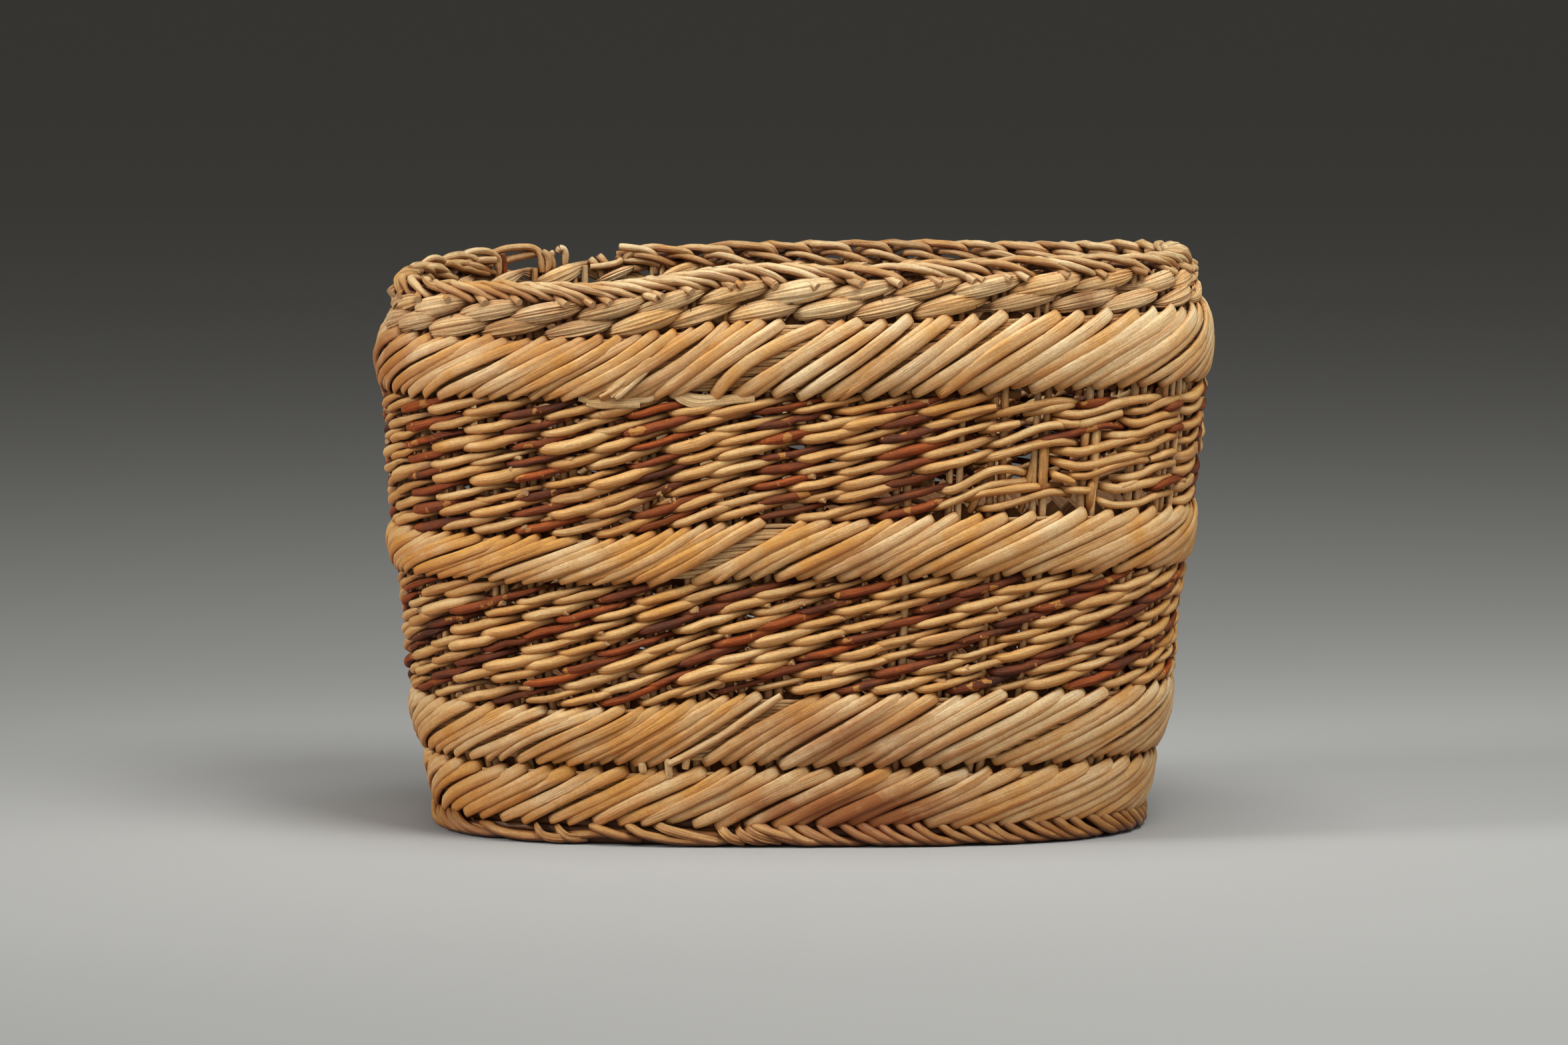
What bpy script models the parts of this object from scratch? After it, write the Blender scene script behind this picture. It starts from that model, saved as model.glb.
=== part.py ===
"""A rounded oblong bottle basket of willow rods and flat leaf strips, in metres, +Z up.

The origin is on the ground under the middle of the basket, with +X along its length and -Y towards
the viewer. Every piece is placed on the wall: a share from 0 to 1 runs round it from the middle of
the front towards +X, a level is a height, and an offset is a distance outwards from the line of the
stakes, the upright rods that everything else is woven round.
"""

import math

import bmesh
import bpy
import numpy as np
from mathutils import Vector

# The oblong plan of the foot: half its length, half its depth, and how square it is.
FOOT_HALF_LENGTH = 0.1605
FOOT_HALF_DEPTH = 0.0945
FOOT_SQUARENESS = 2.8

# How far the wall flares from the foot to the knee, from there to the shoulder, and draws in again
# to the rim, at the ends and at the sides, and how square the plan is there.
KNEE_END_FLARE = 0.0165
KNEE_SIDE_FLARE = 0.0085
KNEE_SQUARENESS = 3.2
SHOULDER_END_FLARE = 0.0116
SHOULDER_SIDE_FLARE = 0.0070
SHOULDER_SQUARENESS = 3.5
RIM_END_DRAW_IN = 0.0026
RIM_SIDE_DRAW_IN = 0.0015
RIM_SQUARENESS = 3.5

# The courses of the wall, from the ground up.
FIT_GAP = 0.0003
FOOT_BORDER_HEIGHT = 0.0110
FOOT_BAND_HEIGHT = 0.0264
LOWER_BAND_HEIGHT = 0.0350
LOWER_WALE_COURSES = 7
LOWER_WALE_HEIGHT = 0.0071
MIDDLE_BAND_HEIGHT = 0.0292
UPPER_WALE_COURSES = 8
UPPER_WALE_HEIGHT = 0.0065
UPPER_BAND_HEIGHT = 0.0366
LEAF_ROW_HEIGHT = 0.0076
RIM_BORDER_HEIGHT = 0.0088

# Each band is woven thinner towards its finish than at its start, so the wall drops on the left.
LOWER_BAND_DROP = 0.0070
MIDDLE_BAND_FOOT_DROP = 0.0025
MIDDLE_BAND_DROP = 0.0090
UPPER_BAND_FOOT_DROP = 0.0010
UPPER_BAND_DROP = 0.0080
START_SHARE = 0.985
START_WIDTH_SHARE = 0.08
DROP_FROM_SHARE = 0.20
DROP_TO_SHARE = 0.65

# The stakes stand in pairs, each pair lumped as one flat upright two rods wide.
STAKE_PAIRS = 54
STAKE_PAIR_WIDTH = 0.0080
STAKE_THICKNESS = 0.0040
STAKE_SEAT = 0.0006

# Weavers: three-rod waling lumped as one rod a course, and the flat leaf rows.
WALE_THICKNESS = 0.0046
LEAF_THICKNESS = 0.0030
PAIRS_PER_REPEAT = 3
RUN_PAST_PAIR_SHARE = 0.27
MOST_CHORD_SAG = 0.0004

# Bands: a core of flat leaf outside the stakes, slanting rods over it and a leaf lining inside.
BAND_RODS = 96
SHORT_BAND_LEAN_RODS = 4
TALL_BAND_LEAN_RODS = 5
CORE_THICKNESS = 0.0016
ROD_THICKNESS = 0.0034
GROOVE_DEPTH = 0.0022
FOOT_BAND_BULGE = 0.0008
LOWER_BAND_BULGE = 0.0020
MIDDLE_BAND_BULGE = 0.0022
UPPER_BAND_BULGE = 0.0040
LINING_THICKNESS = 0.0020
LINING_INSET = 0.0010

# The foot border, and the rim border that the stakes turn down into, broken at the back left.
FOOT_BORDER_WIDTH = 0.0160
RIM_BORDER_WIDTH = 0.0110
BORDER_FLAT_SHARE = 0.7
RIM_BREAK_FROM_SHARE = 0.575
RIM_BREAK_TO_SHARE = 0.625
BROKEN_RIM_HEIGHT = 0.0040

# The oblong base: long sticks threaded through cross sticks, between two woven faces.
BASE_WEAVE_THICKNESS = 0.0025
CROSS_STICK_WIDTH = 0.0060
CROSS_STICK_THICKNESS = 0.0050
CROSS_STICKS = 9
CROSS_STICK_SPACING = 0.0300
LONG_STICK_WIDTH = 0.0042
LONG_STICK_THICKNESS = 0.0030
LONG_STICKS = 3
LONG_STICK_SPACING = 0.0280
STICK_END_INSET = 0.0040

# How finely curves are followed.
PLAN_SAMPLES = 1440
RING_STEPS = 44
LINING_STEPS = 28
START_STEPS = 8
PLATE_STEPS = 54
SMOOTH_ANGLE = math.radians(50)

# Colour and roughness of each sort of rod or strip.
PEELED_WILLOW = (0.55, 0.38, 0.19), 0.55
BAND_WILLOW = (0.60, 0.40, 0.17), 0.50
DARK_WILLOW = (0.36, 0.21, 0.11), 0.55
FLAT_LEAF = (0.45, 0.32, 0.18), 0.70


def stack(heights):
    """The (bottom, top) level of each course of that height, with the fitting gap between them."""
    spans = []
    bottom = 0.0
    for height in heights:
        spans.append((bottom, bottom + height))
        bottom += height + FIT_GAP
    return spans


COURSE_SPANS = stack(
    [FOOT_BORDER_HEIGHT, FOOT_BAND_HEIGHT, LOWER_BAND_HEIGHT]
    + [LOWER_WALE_HEIGHT] * LOWER_WALE_COURSES
    + [MIDDLE_BAND_HEIGHT]
    + [UPPER_WALE_HEIGHT] * UPPER_WALE_COURSES
    + [UPPER_BAND_HEIGHT, LEAF_ROW_HEIGHT, LEAF_ROW_HEIGHT, RIM_BORDER_HEIGHT]
)
FOOT_BORDER, FOOT_BAND, LOWER_BAND = COURSE_SPANS[:3]
LOWER_WALES = COURSE_SPANS[3 : 3 + LOWER_WALE_COURSES]
MIDDLE_BAND = COURSE_SPANS[3 + LOWER_WALE_COURSES]
UPPER_WALES = COURSE_SPANS[4 + LOWER_WALE_COURSES : -4]
UPPER_BAND, LEAF_ROW_LOWER, LEAF_ROW_UPPER, RIM_BORDER = COURSE_SPANS[-4:]

# Half the length and half the depth of the stake line's plan, from the foot up.
KNEE_HALF_LENGTH = FOOT_HALF_LENGTH + KNEE_END_FLARE
KNEE_HALF_DEPTH = FOOT_HALF_DEPTH + KNEE_SIDE_FLARE
SHOULDER_HALF_LENGTH = KNEE_HALF_LENGTH + SHOULDER_END_FLARE
SHOULDER_HALF_DEPTH = KNEE_HALF_DEPTH + SHOULDER_SIDE_FLARE
RIM_HALF_LENGTH = SHOULDER_HALF_LENGTH - RIM_END_DRAW_IN
RIM_HALF_DEPTH = SHOULDER_HALF_DEPTH - RIM_SIDE_DRAW_IN

# The plan at each height, between which the wall runs straight.
PROFILE = [
    (0.0, FOOT_HALF_LENGTH, FOOT_HALF_DEPTH, FOOT_SQUARENESS),
    (LOWER_BAND[1], KNEE_HALF_LENGTH, KNEE_HALF_DEPTH, KNEE_SQUARENESS),
    (UPPER_BAND[0], SHOULDER_HALF_LENGTH, SHOULDER_HALF_DEPTH, SHOULDER_SQUARENESS),
    (RIM_BORDER[1], RIM_HALF_LENGTH, RIM_HALF_DEPTH, RIM_SQUARENESS),
]

# How far each level has dropped at the thin end of the bands.
DROPS = [
    (LOWER_BAND[0], 0.0),
    (LOWER_BAND[1], LOWER_BAND_DROP),
    (MIDDLE_BAND[0], MIDDLE_BAND_FOOT_DROP),
    (MIDDLE_BAND[1], MIDDLE_BAND_DROP),
    (UPPER_BAND[0], UPPER_BAND_FOOT_DROP),
    (UPPER_BAND[1], UPPER_BAND_DROP),
]

STAKE_FACE = STAKE_THICKNESS / 2
WEAVER_SEAT = STAKE_FACE + STAKE_SEAT
PAIR_SHARE = 1.0 / STAKE_PAIRS


def smooth_step(x):
    """Nothing below 0, all above 1, and a smooth rise between."""
    x = min(1.0, max(0.0, x))
    return x * x * (3.0 - 2.0 * x)


def drop_at(share, level):
    """How far the wall has dropped there: nothing after the bands' start, most just before it."""
    past = (share - START_SHARE) % 1.0
    risen = smooth_step((past - DROP_FROM_SHARE) / (DROP_TO_SHARE - DROP_FROM_SHARE))
    fallen = smooth_step((past - 1.0 + START_WIDTH_SHARE) / START_WIDTH_SHARE)
    levels, drops = zip(*DROPS)
    return (risen - fallen) * float(np.interp(level, levels, drops))


def plan_at(height):
    """Half length, half depth and squareness of the stake line's plan at a height."""
    heights, *columns = zip(*PROFILE)
    return tuple(float(np.interp(height, heights, column)) for column in columns)


def plan_points(angles, half_length, half_depth, squareness):
    """Points of the rounded oblong in those directions from its middle."""
    across, along = np.cos(angles), np.sin(angles)
    reach = np.abs(across / half_length) ** squareness + np.abs(along / half_depth) ** squareness
    reach = reach ** (-1.0 / squareness)
    return reach * across, reach * along


ARC_TABLES = {}


def arc_table(level):
    """Shares of the way round the plan at a level, and the direction from the middle at each."""
    if level not in ARC_TABLES:
        angles = np.linspace(-math.pi / 2, 3 * math.pi / 2, PLAN_SAMPLES + 1)
        x, y = plan_points(angles, *plan_at(level))
        run = np.concatenate([[0.0], np.cumsum(np.hypot(np.diff(x), np.diff(y)))])
        ARC_TABLES[level] = (run / run[-1], angles)
    return ARC_TABLES[level]


def wall_point(share, level, offset, dropped=True):
    """The point of the wall at a share of the way round, a level, and an offset from the stakes."""
    shares, angles = arc_table(level)
    angle = np.interp(share % 1.0, shares, angles)
    height = level - drop_at(share, level) if dropped else level
    half_length, half_depth, squareness = plan_at(height)
    x, y = plan_points(angle, half_length, half_depth, squareness)
    normal = Vector((
        math.copysign(abs(x / half_length) ** (squareness - 1.0) / half_length, x),
        math.copysign(abs(y / half_depth) ** (squareness - 1.0) / half_depth, y),
        0.0,
    )).normalized()
    return Vector((x, y, height)) + offset * normal


def chord_sag(share_a, share_b, level):
    """How far a straight run between two shares would stray from the stake line, as a vector."""
    start, end = (wall_point(share, level, 0.0) for share in (share_a, share_b))
    middle = wall_point((share_a + share_b) / 2, level, 0.0)
    return (start + end) / 2 - middle


def wall_length(level):
    """The length of the stake line round the wall at a level."""
    x, y = plan_points(arc_table(level)[1], *plan_at(level))
    return float(np.hypot(np.diff(x), np.diff(y)).sum())


def ring_shares(level, steps):
    """Shares spaced so that the wall turns, and runs, about alike between each two, and more at
    the bands' start, where it drops."""
    shares = np.linspace(0.0, 1.0, PLAN_SAMPLES // 4 + 1)
    points = np.array([wall_point(share, level, 0.0).xy for share in shares])
    legs = np.diff(points, axis=0)
    headings = np.unwrap(np.arctan2(legs[:, 1], legs[:, 0]))
    turned = np.concatenate([[0.0], np.cumsum(np.abs(np.diff(headings))), [2 * math.pi]])
    effort = turned / turned[-1] + shares
    even = np.interp(np.arange(steps) * effort[-1] / steps, effort, shares)
    start = START_SHARE - START_WIDTH_SHARE * np.linspace(1.0, 0.0, START_STEPS)
    spread = [share for share in even if not start[0] <= share <= start[-1]]
    return [float(share) for share in sorted([*spread, *start])]


def make_material(name, finish):
    """A plain surface of one colour."""
    colour, roughness = finish
    material = bpy.data.materials.new(name)
    material.use_nodes = True
    shader = material.node_tree.nodes["Principled BSDF"]
    shader.inputs["Base Color"].default_value = (*colour, 1.0)
    shader.inputs["Roughness"].default_value = roughness
    shader.inputs["Metallic"].default_value = 0.0
    material.diffuse_color = (*colour, 1.0)
    return material


def add_object(name, shape, finish):
    """Turns a bmesh into a named object with its faces pointing out."""
    bmesh.ops.recalc_face_normals(shape, faces=shape.faces)
    mesh = bpy.data.meshes.new(name)
    shape.to_mesh(mesh)
    shape.free()
    mesh.shade_smooth()
    mesh.set_sharp_from_angle(angle=SMOOTH_ANGLE)
    mesh.materials.append(make_material(name, finish))
    made = bpy.data.objects.new(name, mesh)
    bpy.context.scene.collection.objects.link(made)
    return made


def add_quad(shape, a, b, c, d):
    """Two triangles over four corners, split along the shorter diagonal."""
    if (a.co - c.co).length <= (b.co - d.co).length:
        halves = ((a, b, c), (a, c, d))
    else:
        halves = ((b, c, d), (b, d, a))
    for half in halves:
        shape.faces.new(half)


def bridge(shape, near, far):
    """Skins the space between two loops of the same number of corners."""
    for k, corner in enumerate(near):
        after = (k + 1) % len(near)
        add_quad(shape, corner, near[after], far[after], far[k])


def add_loops(shape, sections):
    """The corners of each section, as a list of loops."""
    return [[shape.verts.new(point) for point in section] for section in sections]


def sweep(shape, sections, closed):
    """Skins a run of sections, each the same number of points, into one closed body."""
    loops = add_loops(shape, sections)
    following = loops[1:] + loops[:1] if closed else loops[1:]
    for near, far in zip(loops, following):
        bridge(shape, near, far)
    if not closed:
        shape.faces.new(loops[0])
        shape.faces.new(loops[-1])


def zip_loops(shape, loop_a, loop_b):
    """Skins the space between two loops of (share, corner), whose numbers of corners differ."""
    loops = []
    for loop in (loop_a, loop_b):
        turn = sorted((share % 1.0, k) for k, (share, _) in enumerate(loop))
        ordered = [(share, loop[k][1]) for share, k in turn]
        loops.append(ordered + [(ordered[0][0] + 1.0, ordered[0][1])])
    at = [0, 0]
    while at[0] < len(loops[0]) - 1 or at[1] < len(loops[1]) - 1:
        ahead = [
            loop[k + 1][0] if k + 1 < len(loop) else math.inf for loop, k in zip(loops, at)
        ]
        moving = 0 if ahead[0] <= ahead[1] else 1
        resting = loops[1 - moving][at[1 - moving]][1]
        here, there = (loops[moving][at[moving] + step][1] for step in (0, 1))
        shape.faces.new((here, there, resting))
        at[moving] += 1


def add_ring(name, outline, steps, finish):
    """A ring of that outline, a list of (level, offset), all the way round the wall."""
    middle = sum(level for level, _ in outline) / len(outline)
    shares = ring_shares(middle, steps)
    shape = bmesh.new()
    sections = [[wall_point(s, level, offset) for level, offset in outline] for s in shares]
    sweep(shape, sections, closed=True)
    return add_object(name, shape, finish)


def border_outline(bottom, top, width):
    """A six-sided border section, flat above and below, from its inner bottom corner round."""
    half = width / 2
    flat = half * BORDER_FLAT_SHARE
    middle = (bottom + top) / 2
    return [(bottom, -flat), (bottom, flat), (middle, half), (top, flat), (top, -flat), (middle, -half)]


def stake_section(share, level, dropped):
    """The corners of a pair of stakes cut through at a level, from its inner left corner round."""
    half = STAKE_PAIR_WIDTH / 2 / wall_length(level)
    corners = ((-half, -STAKE_FACE), (-half, STAKE_FACE), (half, STAKE_FACE), (half, -STAKE_FACE))
    return [wall_point(share + along, level, offset, dropped) for along, offset in corners]


def add_stakes_and_rim(finish):
    """The stakes, from the foot border up, and the rim border that they turn down into."""
    shape = bmesh.new()
    bottom, top = RIM_BORDER
    sections = []
    for pair in range(STAKE_PAIRS):
        share = pair * PAIR_SHARE
        broken = RIM_BREAK_FROM_SHARE < share < RIM_BREAK_TO_SHARE
        crest = bottom + BROKEN_RIM_HEIGHT if broken else top
        outline = border_outline(bottom, crest, RIM_BORDER_WIDTH)
        sections.append([wall_point(share, level, offset) for level, offset in outline])
    loops = add_loops(shape, sections)
    for pair, near in enumerate(loops):
        far = loops[(pair + 1) % STAKE_PAIRS]
        for k in range(1, len(near)):
            after = (k + 1) % len(near)
            add_quad(shape, near[k], near[after], far[after], far[k])
        share = (pair + 0.5) * PAIR_SHARE
        uprights = [stake_section(share, bottom, True)]
        for height in (PROFILE[2][0], PROFILE[1][0], FOOT_BAND[0]):
            uprights.append(stake_section(share, height, False))
        upright = [[near[0], near[1], far[1], far[0]], *add_loops(shape, uprights)]
        for upper, lower in zip(upright, upright[1:]):
            bridge(shape, upper, lower)
        shape.faces.new(upright[-1])
    return add_object("stakes_and_rim_border", shape, finish)


def add_woven_course(name, span, phase, thickness, finish):
    """A weaver that runs in front of two pairs of stakes and behind the third, all the way round."""
    bottom, top = span
    middle = (bottom + top) / 2
    front, behind = WEAVER_SEAT, -WEAVER_SEAT - thickness
    stops = []
    for repeat in range(STAKE_PAIRS // PAIRS_PER_REPEAT):
        first = phase + repeat * PAIRS_PER_REPEAT + 0.5
        stops.append((first - RUN_PAST_PAIR_SHARE, behind))
        stops.append((first + RUN_PAST_PAIR_SHARE, behind))
        run_from = first + 1 - RUN_PAST_PAIR_SHARE
        run_to = first + 2 + RUN_PAST_PAIR_SHARE
        stops.append((run_from, front))
        sag = chord_sag(run_from * PAIR_SHARE, run_to * PAIR_SHARE, middle)
        if sag.length > MOST_CHORD_SAG:
            stops.append(((run_from + run_to) / 2, front))
        stops.append((run_to, front))
    sections = []
    for pairs, base in stops:
        share = pairs * PAIR_SHARE
        outline = ((bottom, base), (top, base), (middle, base + thickness))
        sections.append([wall_point(share, level, offset) for level, offset in outline])
    shape = bmesh.new()
    sweep(shape, sections, closed=True)
    return add_object(name, shape, finish)


def block_outline(bottom, top, near, far):
    """A four-sided section between two levels and two offsets."""
    return [(bottom, near), (bottom, far), (top, far), (top, near)]


def add_band_rods(name, span, lean_rods, bulge, finish):
    """The slanting rods of a band, lumped as one skin: a ridge for each rod, rising to the right."""
    bottom, top = span
    middle = (bottom + top) / 2
    base = WEAVER_SEAT + CORE_THICKNESS + FIT_GAP
    lean = lean_rods / BAND_RODS
    shape = bmesh.new()

    outer = []
    for level, part, swell in ((bottom, 0.0, 0.0), (middle, 0.5, bulge), (top, 1.0, 0.0)):
        loop = []
        for half_rod in range(2 * BAND_RODS):
            start = half_rod / BAND_RODS / 2
            sag = max(
                chord_sag(start + lean * half, start + lean * (half + 0.5), middle).xy.length
                for half in (0.0, 0.5)
            )
            groove = GROOVE_DEPTH if half_rod % 2 else 0.0
            share = start + lean * part
            point = wall_point(share, level, base + sag + swell + ROD_THICKNESS - groove)
            loop.append((share, shape.verts.new(point)))
        outer.append(loop)
    for near, far in zip(outer, outer[1:]):
        bridge(shape, [corner for _, corner in near], [corner for _, corner in far])

    shares = ring_shares(middle, RING_STEPS)
    inner = []
    for level in (bottom, top):
        inner.append([(share, shape.verts.new(wall_point(share, level, base))) for share in shares])
    bridge(shape, *[[corner for _, corner in loop] for loop in inner])
    zip_loops(shape, outer[0], inner[0])
    zip_loops(shape, outer[-1], inner[-1])
    return add_object(name, shape, finish)


def add_band(name, span, lining_from, lean_rods, bulge):
    """One raised band: its core, its slanting rods and its lining."""
    bottom, top = span
    core = block_outline(bottom, top, WEAVER_SEAT, WEAVER_SEAT + CORE_THICKNESS)
    add_ring(f"{name}_core", core, RING_STEPS, FLAT_LEAF)
    add_band_rods(f"{name}_rods", span, lean_rods, bulge, BAND_WILLOW)
    inside = -WEAVER_SEAT - LINING_THICKNESS, -WEAVER_SEAT
    lining = block_outline(lining_from + LINING_INSET, top - LINING_INSET, *inside)
    add_ring(f"{name}_lining", lining, LINING_STEPS, FLAT_LEAF)


def add_base_weave(name, bottom, finish):
    """One woven face of the base, inside the feet of the stakes."""
    shape = bmesh.new()
    shares = [step / PLATE_STEPS for step in range(PLATE_STEPS)]
    sections = []
    for level in (bottom, bottom + BASE_WEAVE_THICKNESS):
        sections.append([wall_point(share, level, -WEAVER_SEAT) for share in shares])
    sweep(shape, sections, closed=False)
    return add_object(name, shape, finish)


def half_span(place, along_x, level):
    """How far a base stick at that place reaches to either side inside the base's edge."""
    half_length, half_depth, squareness = plan_at(level)
    across, along = (half_depth, half_length) if along_x else (half_length, half_depth)
    reach = along * (1.0 - (abs(place) / across) ** squareness) ** (1.0 / squareness)
    return reach - WEAVER_SEAT - STICK_END_INSET


def add_sticks(name, count, spacing, width, thickness, height, along_x, finish):
    """Parallel base sticks centred on that height, from edge to edge of the base."""
    shape = bmesh.new()
    for k in range(count):
        place = (k - (count - 1) / 2) * spacing
        reach = half_span(place, along_x, height)
        sections = []
        for end in (-reach, reach):
            section = []
            for side, rise in ((-1, -1), (1, -1), (1, 1), (-1, 1)):
                across = place + side * width / 2
                level = height + rise * thickness / 2
                section.append((end, across, level) if along_x else (across, end, level))
            sections.append(section)
        sweep(shape, sections, closed=False)
    return add_object(name, shape, finish)


def add_base():
    """The base, on the foot border and inside the stakes; gives back its upper level."""
    under = FOOT_BAND[0]
    middle = under + BASE_WEAVE_THICKNESS + FIT_GAP + CROSS_STICK_THICKNESS / 2
    over = middle + CROSS_STICK_THICKNESS / 2 + FIT_GAP
    add_base_weave("base_weave_under", under, FLAT_LEAF)
    add_base_weave("base_weave_over", over, FLAT_LEAF)
    cross_size = CROSS_STICK_WIDTH, CROSS_STICK_THICKNESS, middle, False
    long_size = LONG_STICK_WIDTH, LONG_STICK_THICKNESS, middle, True
    sticks = add_sticks("base_sticks", CROSS_STICKS, CROSS_STICK_SPACING, *cross_size, DARK_WILLOW)
    threaded = add_sticks("long_sticks", LONG_STICKS, LONG_STICK_SPACING, *long_size, DARK_WILLOW)
    threaded.hide_render = True
    threaded.display_type = "WIRE"
    joining = sticks.modifiers.new("threaded", "BOOLEAN")
    joining.operation = "UNION"
    joining.object = threaded
    return over + BASE_WEAVE_THICKNESS


def main():
    for old in list(bpy.data.objects):
        bpy.data.objects.remove(old)

    foot = border_outline(*FOOT_BORDER, FOOT_BORDER_WIDTH)
    add_ring("foot_border", foot, RING_STEPS, PEELED_WILLOW)
    base_top = add_base()
    add_stakes_and_rim(PEELED_WILLOW)

    bands = [
        ("foot_band", FOOT_BAND, base_top + FIT_GAP, SHORT_BAND_LEAN_RODS, FOOT_BAND_BULGE),
        ("lower_band", LOWER_BAND, LOWER_BAND[0], TALL_BAND_LEAN_RODS, LOWER_BAND_BULGE),
        ("middle_band", MIDDLE_BAND, MIDDLE_BAND[0], SHORT_BAND_LEAN_RODS, MIDDLE_BAND_BULGE),
        ("upper_band", UPPER_BAND, UPPER_BAND[0], TALL_BAND_LEAN_RODS, UPPER_BAND_BULGE),
    ]
    for band in bands:
        add_band(*band)

    for zone, spans in (("lower", LOWER_WALES), ("upper", UPPER_WALES)):
        for course, span in enumerate(spans):
            name = f"{zone}_wale_{course + 1}"
            phase = course % PAIRS_PER_REPEAT
            add_woven_course(name, span, phase, WALE_THICKNESS, PEELED_WILLOW)

    add_woven_course("leaf_row_lower", LEAF_ROW_LOWER, 0, LEAF_THICKNESS, FLAT_LEAF)
    add_woven_course("leaf_row_upper", LEAF_ROW_UPPER, 1, LEAF_THICKNESS, FLAT_LEAF)


main()
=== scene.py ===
# %% [markdown]
# A bottle basket of peeled willow and flat leaf
#
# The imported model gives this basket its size: every band, course and stake of it is there as a
# plain solid. This lesson dresses it rod by rod. Nearly everything on a basket is a long thin thing
# that follows a path over and under other long thin things, so the lesson first works out where the
# wall is, then writes each rod as a path on that wall, and lets one Geometry Nodes tree sweep them.

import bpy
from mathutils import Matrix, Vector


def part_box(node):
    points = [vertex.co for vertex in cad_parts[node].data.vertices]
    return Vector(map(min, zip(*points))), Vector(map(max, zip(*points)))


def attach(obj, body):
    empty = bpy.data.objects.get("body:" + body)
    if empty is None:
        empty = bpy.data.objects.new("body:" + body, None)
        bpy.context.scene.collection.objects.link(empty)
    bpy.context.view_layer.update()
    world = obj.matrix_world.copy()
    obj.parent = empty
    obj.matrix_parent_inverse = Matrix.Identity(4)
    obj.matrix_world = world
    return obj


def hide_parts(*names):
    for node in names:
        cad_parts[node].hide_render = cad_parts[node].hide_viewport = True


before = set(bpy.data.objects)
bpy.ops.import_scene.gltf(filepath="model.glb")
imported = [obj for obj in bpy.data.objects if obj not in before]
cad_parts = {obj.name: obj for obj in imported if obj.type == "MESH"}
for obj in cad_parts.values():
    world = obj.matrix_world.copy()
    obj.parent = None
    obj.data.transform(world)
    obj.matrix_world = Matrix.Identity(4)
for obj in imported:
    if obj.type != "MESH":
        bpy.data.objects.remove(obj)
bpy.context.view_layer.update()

# %% Blender's modules and a few helpers
import math

import bpy
import numpy as np
from mathutils import Vector

MM = 0.001


def smooth_step(x):
    """Nothing below 0, all above 1, and a smooth rise between."""
    x = np.clip(x, 0.0, 1.0)
    return x * x * (3.0 - 2.0 * x)


def smooth_rows(keys, steps):
    """Runs a smooth line through rows of values, with that many steps from each row to the next."""
    keys = np.asarray(keys, float)
    padded = np.concatenate([2 * keys[:1] - keys[1:2], keys, 2 * keys[-1:] - keys[-2:-1]])
    a, b, c, d = (padded[k : len(padded) - 3 + k, None] for k in range(4))
    t = (np.arange(steps) / steps)[None, :, None]
    rows = b + (c - a) * t / 2 + (a - 2.5 * b + 2 * c - d / 2) * t**2
    rows = rows + (1.5 * b - a / 2 - 1.5 * c + d / 2) * t**3
    return np.concatenate([rows.reshape(-1, keys.shape[1]), keys[-1:]])


def columns(*values):
    """Rows of numbers from their columns, each one value or a value for every row."""
    return np.stack(np.broadcast_arrays(*values), axis=-1)


def new_object(name, data):
    """An object that holds the data, linked into the scene."""
    made = bpy.data.objects.new(name, data)
    bpy.context.scene.collection.objects.link(made)
    return made


# %% [markdown]
# The camera stands where the photographer's did: a long lens, a little above the rim, looking down
# by about five degrees. Its height and distance come from how flat the rim and foot curves look.

# %% Camera
CAMERA_AT = (-0.0044, -3.2293, 0.4455)
CAMERA_DOWN = math.radians(5.38)
CAMERA_LENS = 156.73
SENSOR = 36.0

camera_data = bpy.data.cameras.new("camera")
camera_data.lens = CAMERA_LENS
camera_data.sensor_width = SENSOR
camera_data.clip_end = 200.0
camera = new_object("camera", camera_data)
camera.location = CAMERA_AT
camera.rotation_euler = (math.pi / 2 - CAMERA_DOWN, 0.0, 0.0)
bpy.context.scene.camera = camera
bpy.context.scene.view_settings.view_transform = "Standard"
print("Camera at", CAMERA_AT, "with a", CAMERA_LENS, "mm lens")

# %% [markdown]
# A basket is all small round rods, so it wants soft light from high up, most of it from the right:
# each rod then has a bright upper side and a dark lower edge. A narrow weak lamp at each side keeps
# the ends of the basket from going dark. The floor is a plain pale sheet that runs far back.

# %% Floor and lights
FLOOR_HALF = 60.0
FLOOR_GREY = (0.29, 0.29, 0.278)
FLOOR_ROUGHNESS = 0.9
WORLD_COLOUR = (1.0, 0.97, 0.90, 1.0)
WORLD_STRENGTH = 0.10
LAMPS_AIM = (0.0, 0.0, 0.13)
LAMPS = [  # name, place, size, power, and how wide its light spreads in degrees
    ("key_lamp", (0.60, -0.90, 1.75), 0.8, 33.0, 180.0),
    ("left_lamp", (-1.50, -0.50, 0.80), 0.6, 1.35, 31.0),
    ("right_lamp", (1.50, -0.50, 0.80), 0.6, 0.35, 31.0),
    ("top_lamp", (0.00, -0.20, 1.9), 0.8, 19.0, 180.0),
    ("front_fill", (-0.20, -2.30, 0.80), 1.6, 11.0, 180.0),
]

paper = bpy.data.materials.new("floor_paper")
paper.use_nodes = True
paper_shader = paper.node_tree.nodes["Principled BSDF"]
paper_shader.inputs["Base Color"].default_value = (*FLOOR_GREY, 1.0)
paper_shader.inputs["Roughness"].default_value = FLOOR_ROUGHNESS
floor_mesh = bpy.data.meshes.new("floor")
corners = [(x * FLOOR_HALF, y * FLOOR_HALF, 0.0) for x, y in ((-1, -1), (1, -1), (1, 1), (-1, 1))]
floor_mesh.from_pydata(corners, [], [(0, 1, 2, 3)])
floor_mesh.materials.append(paper)
new_object("floor", floor_mesh)

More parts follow.
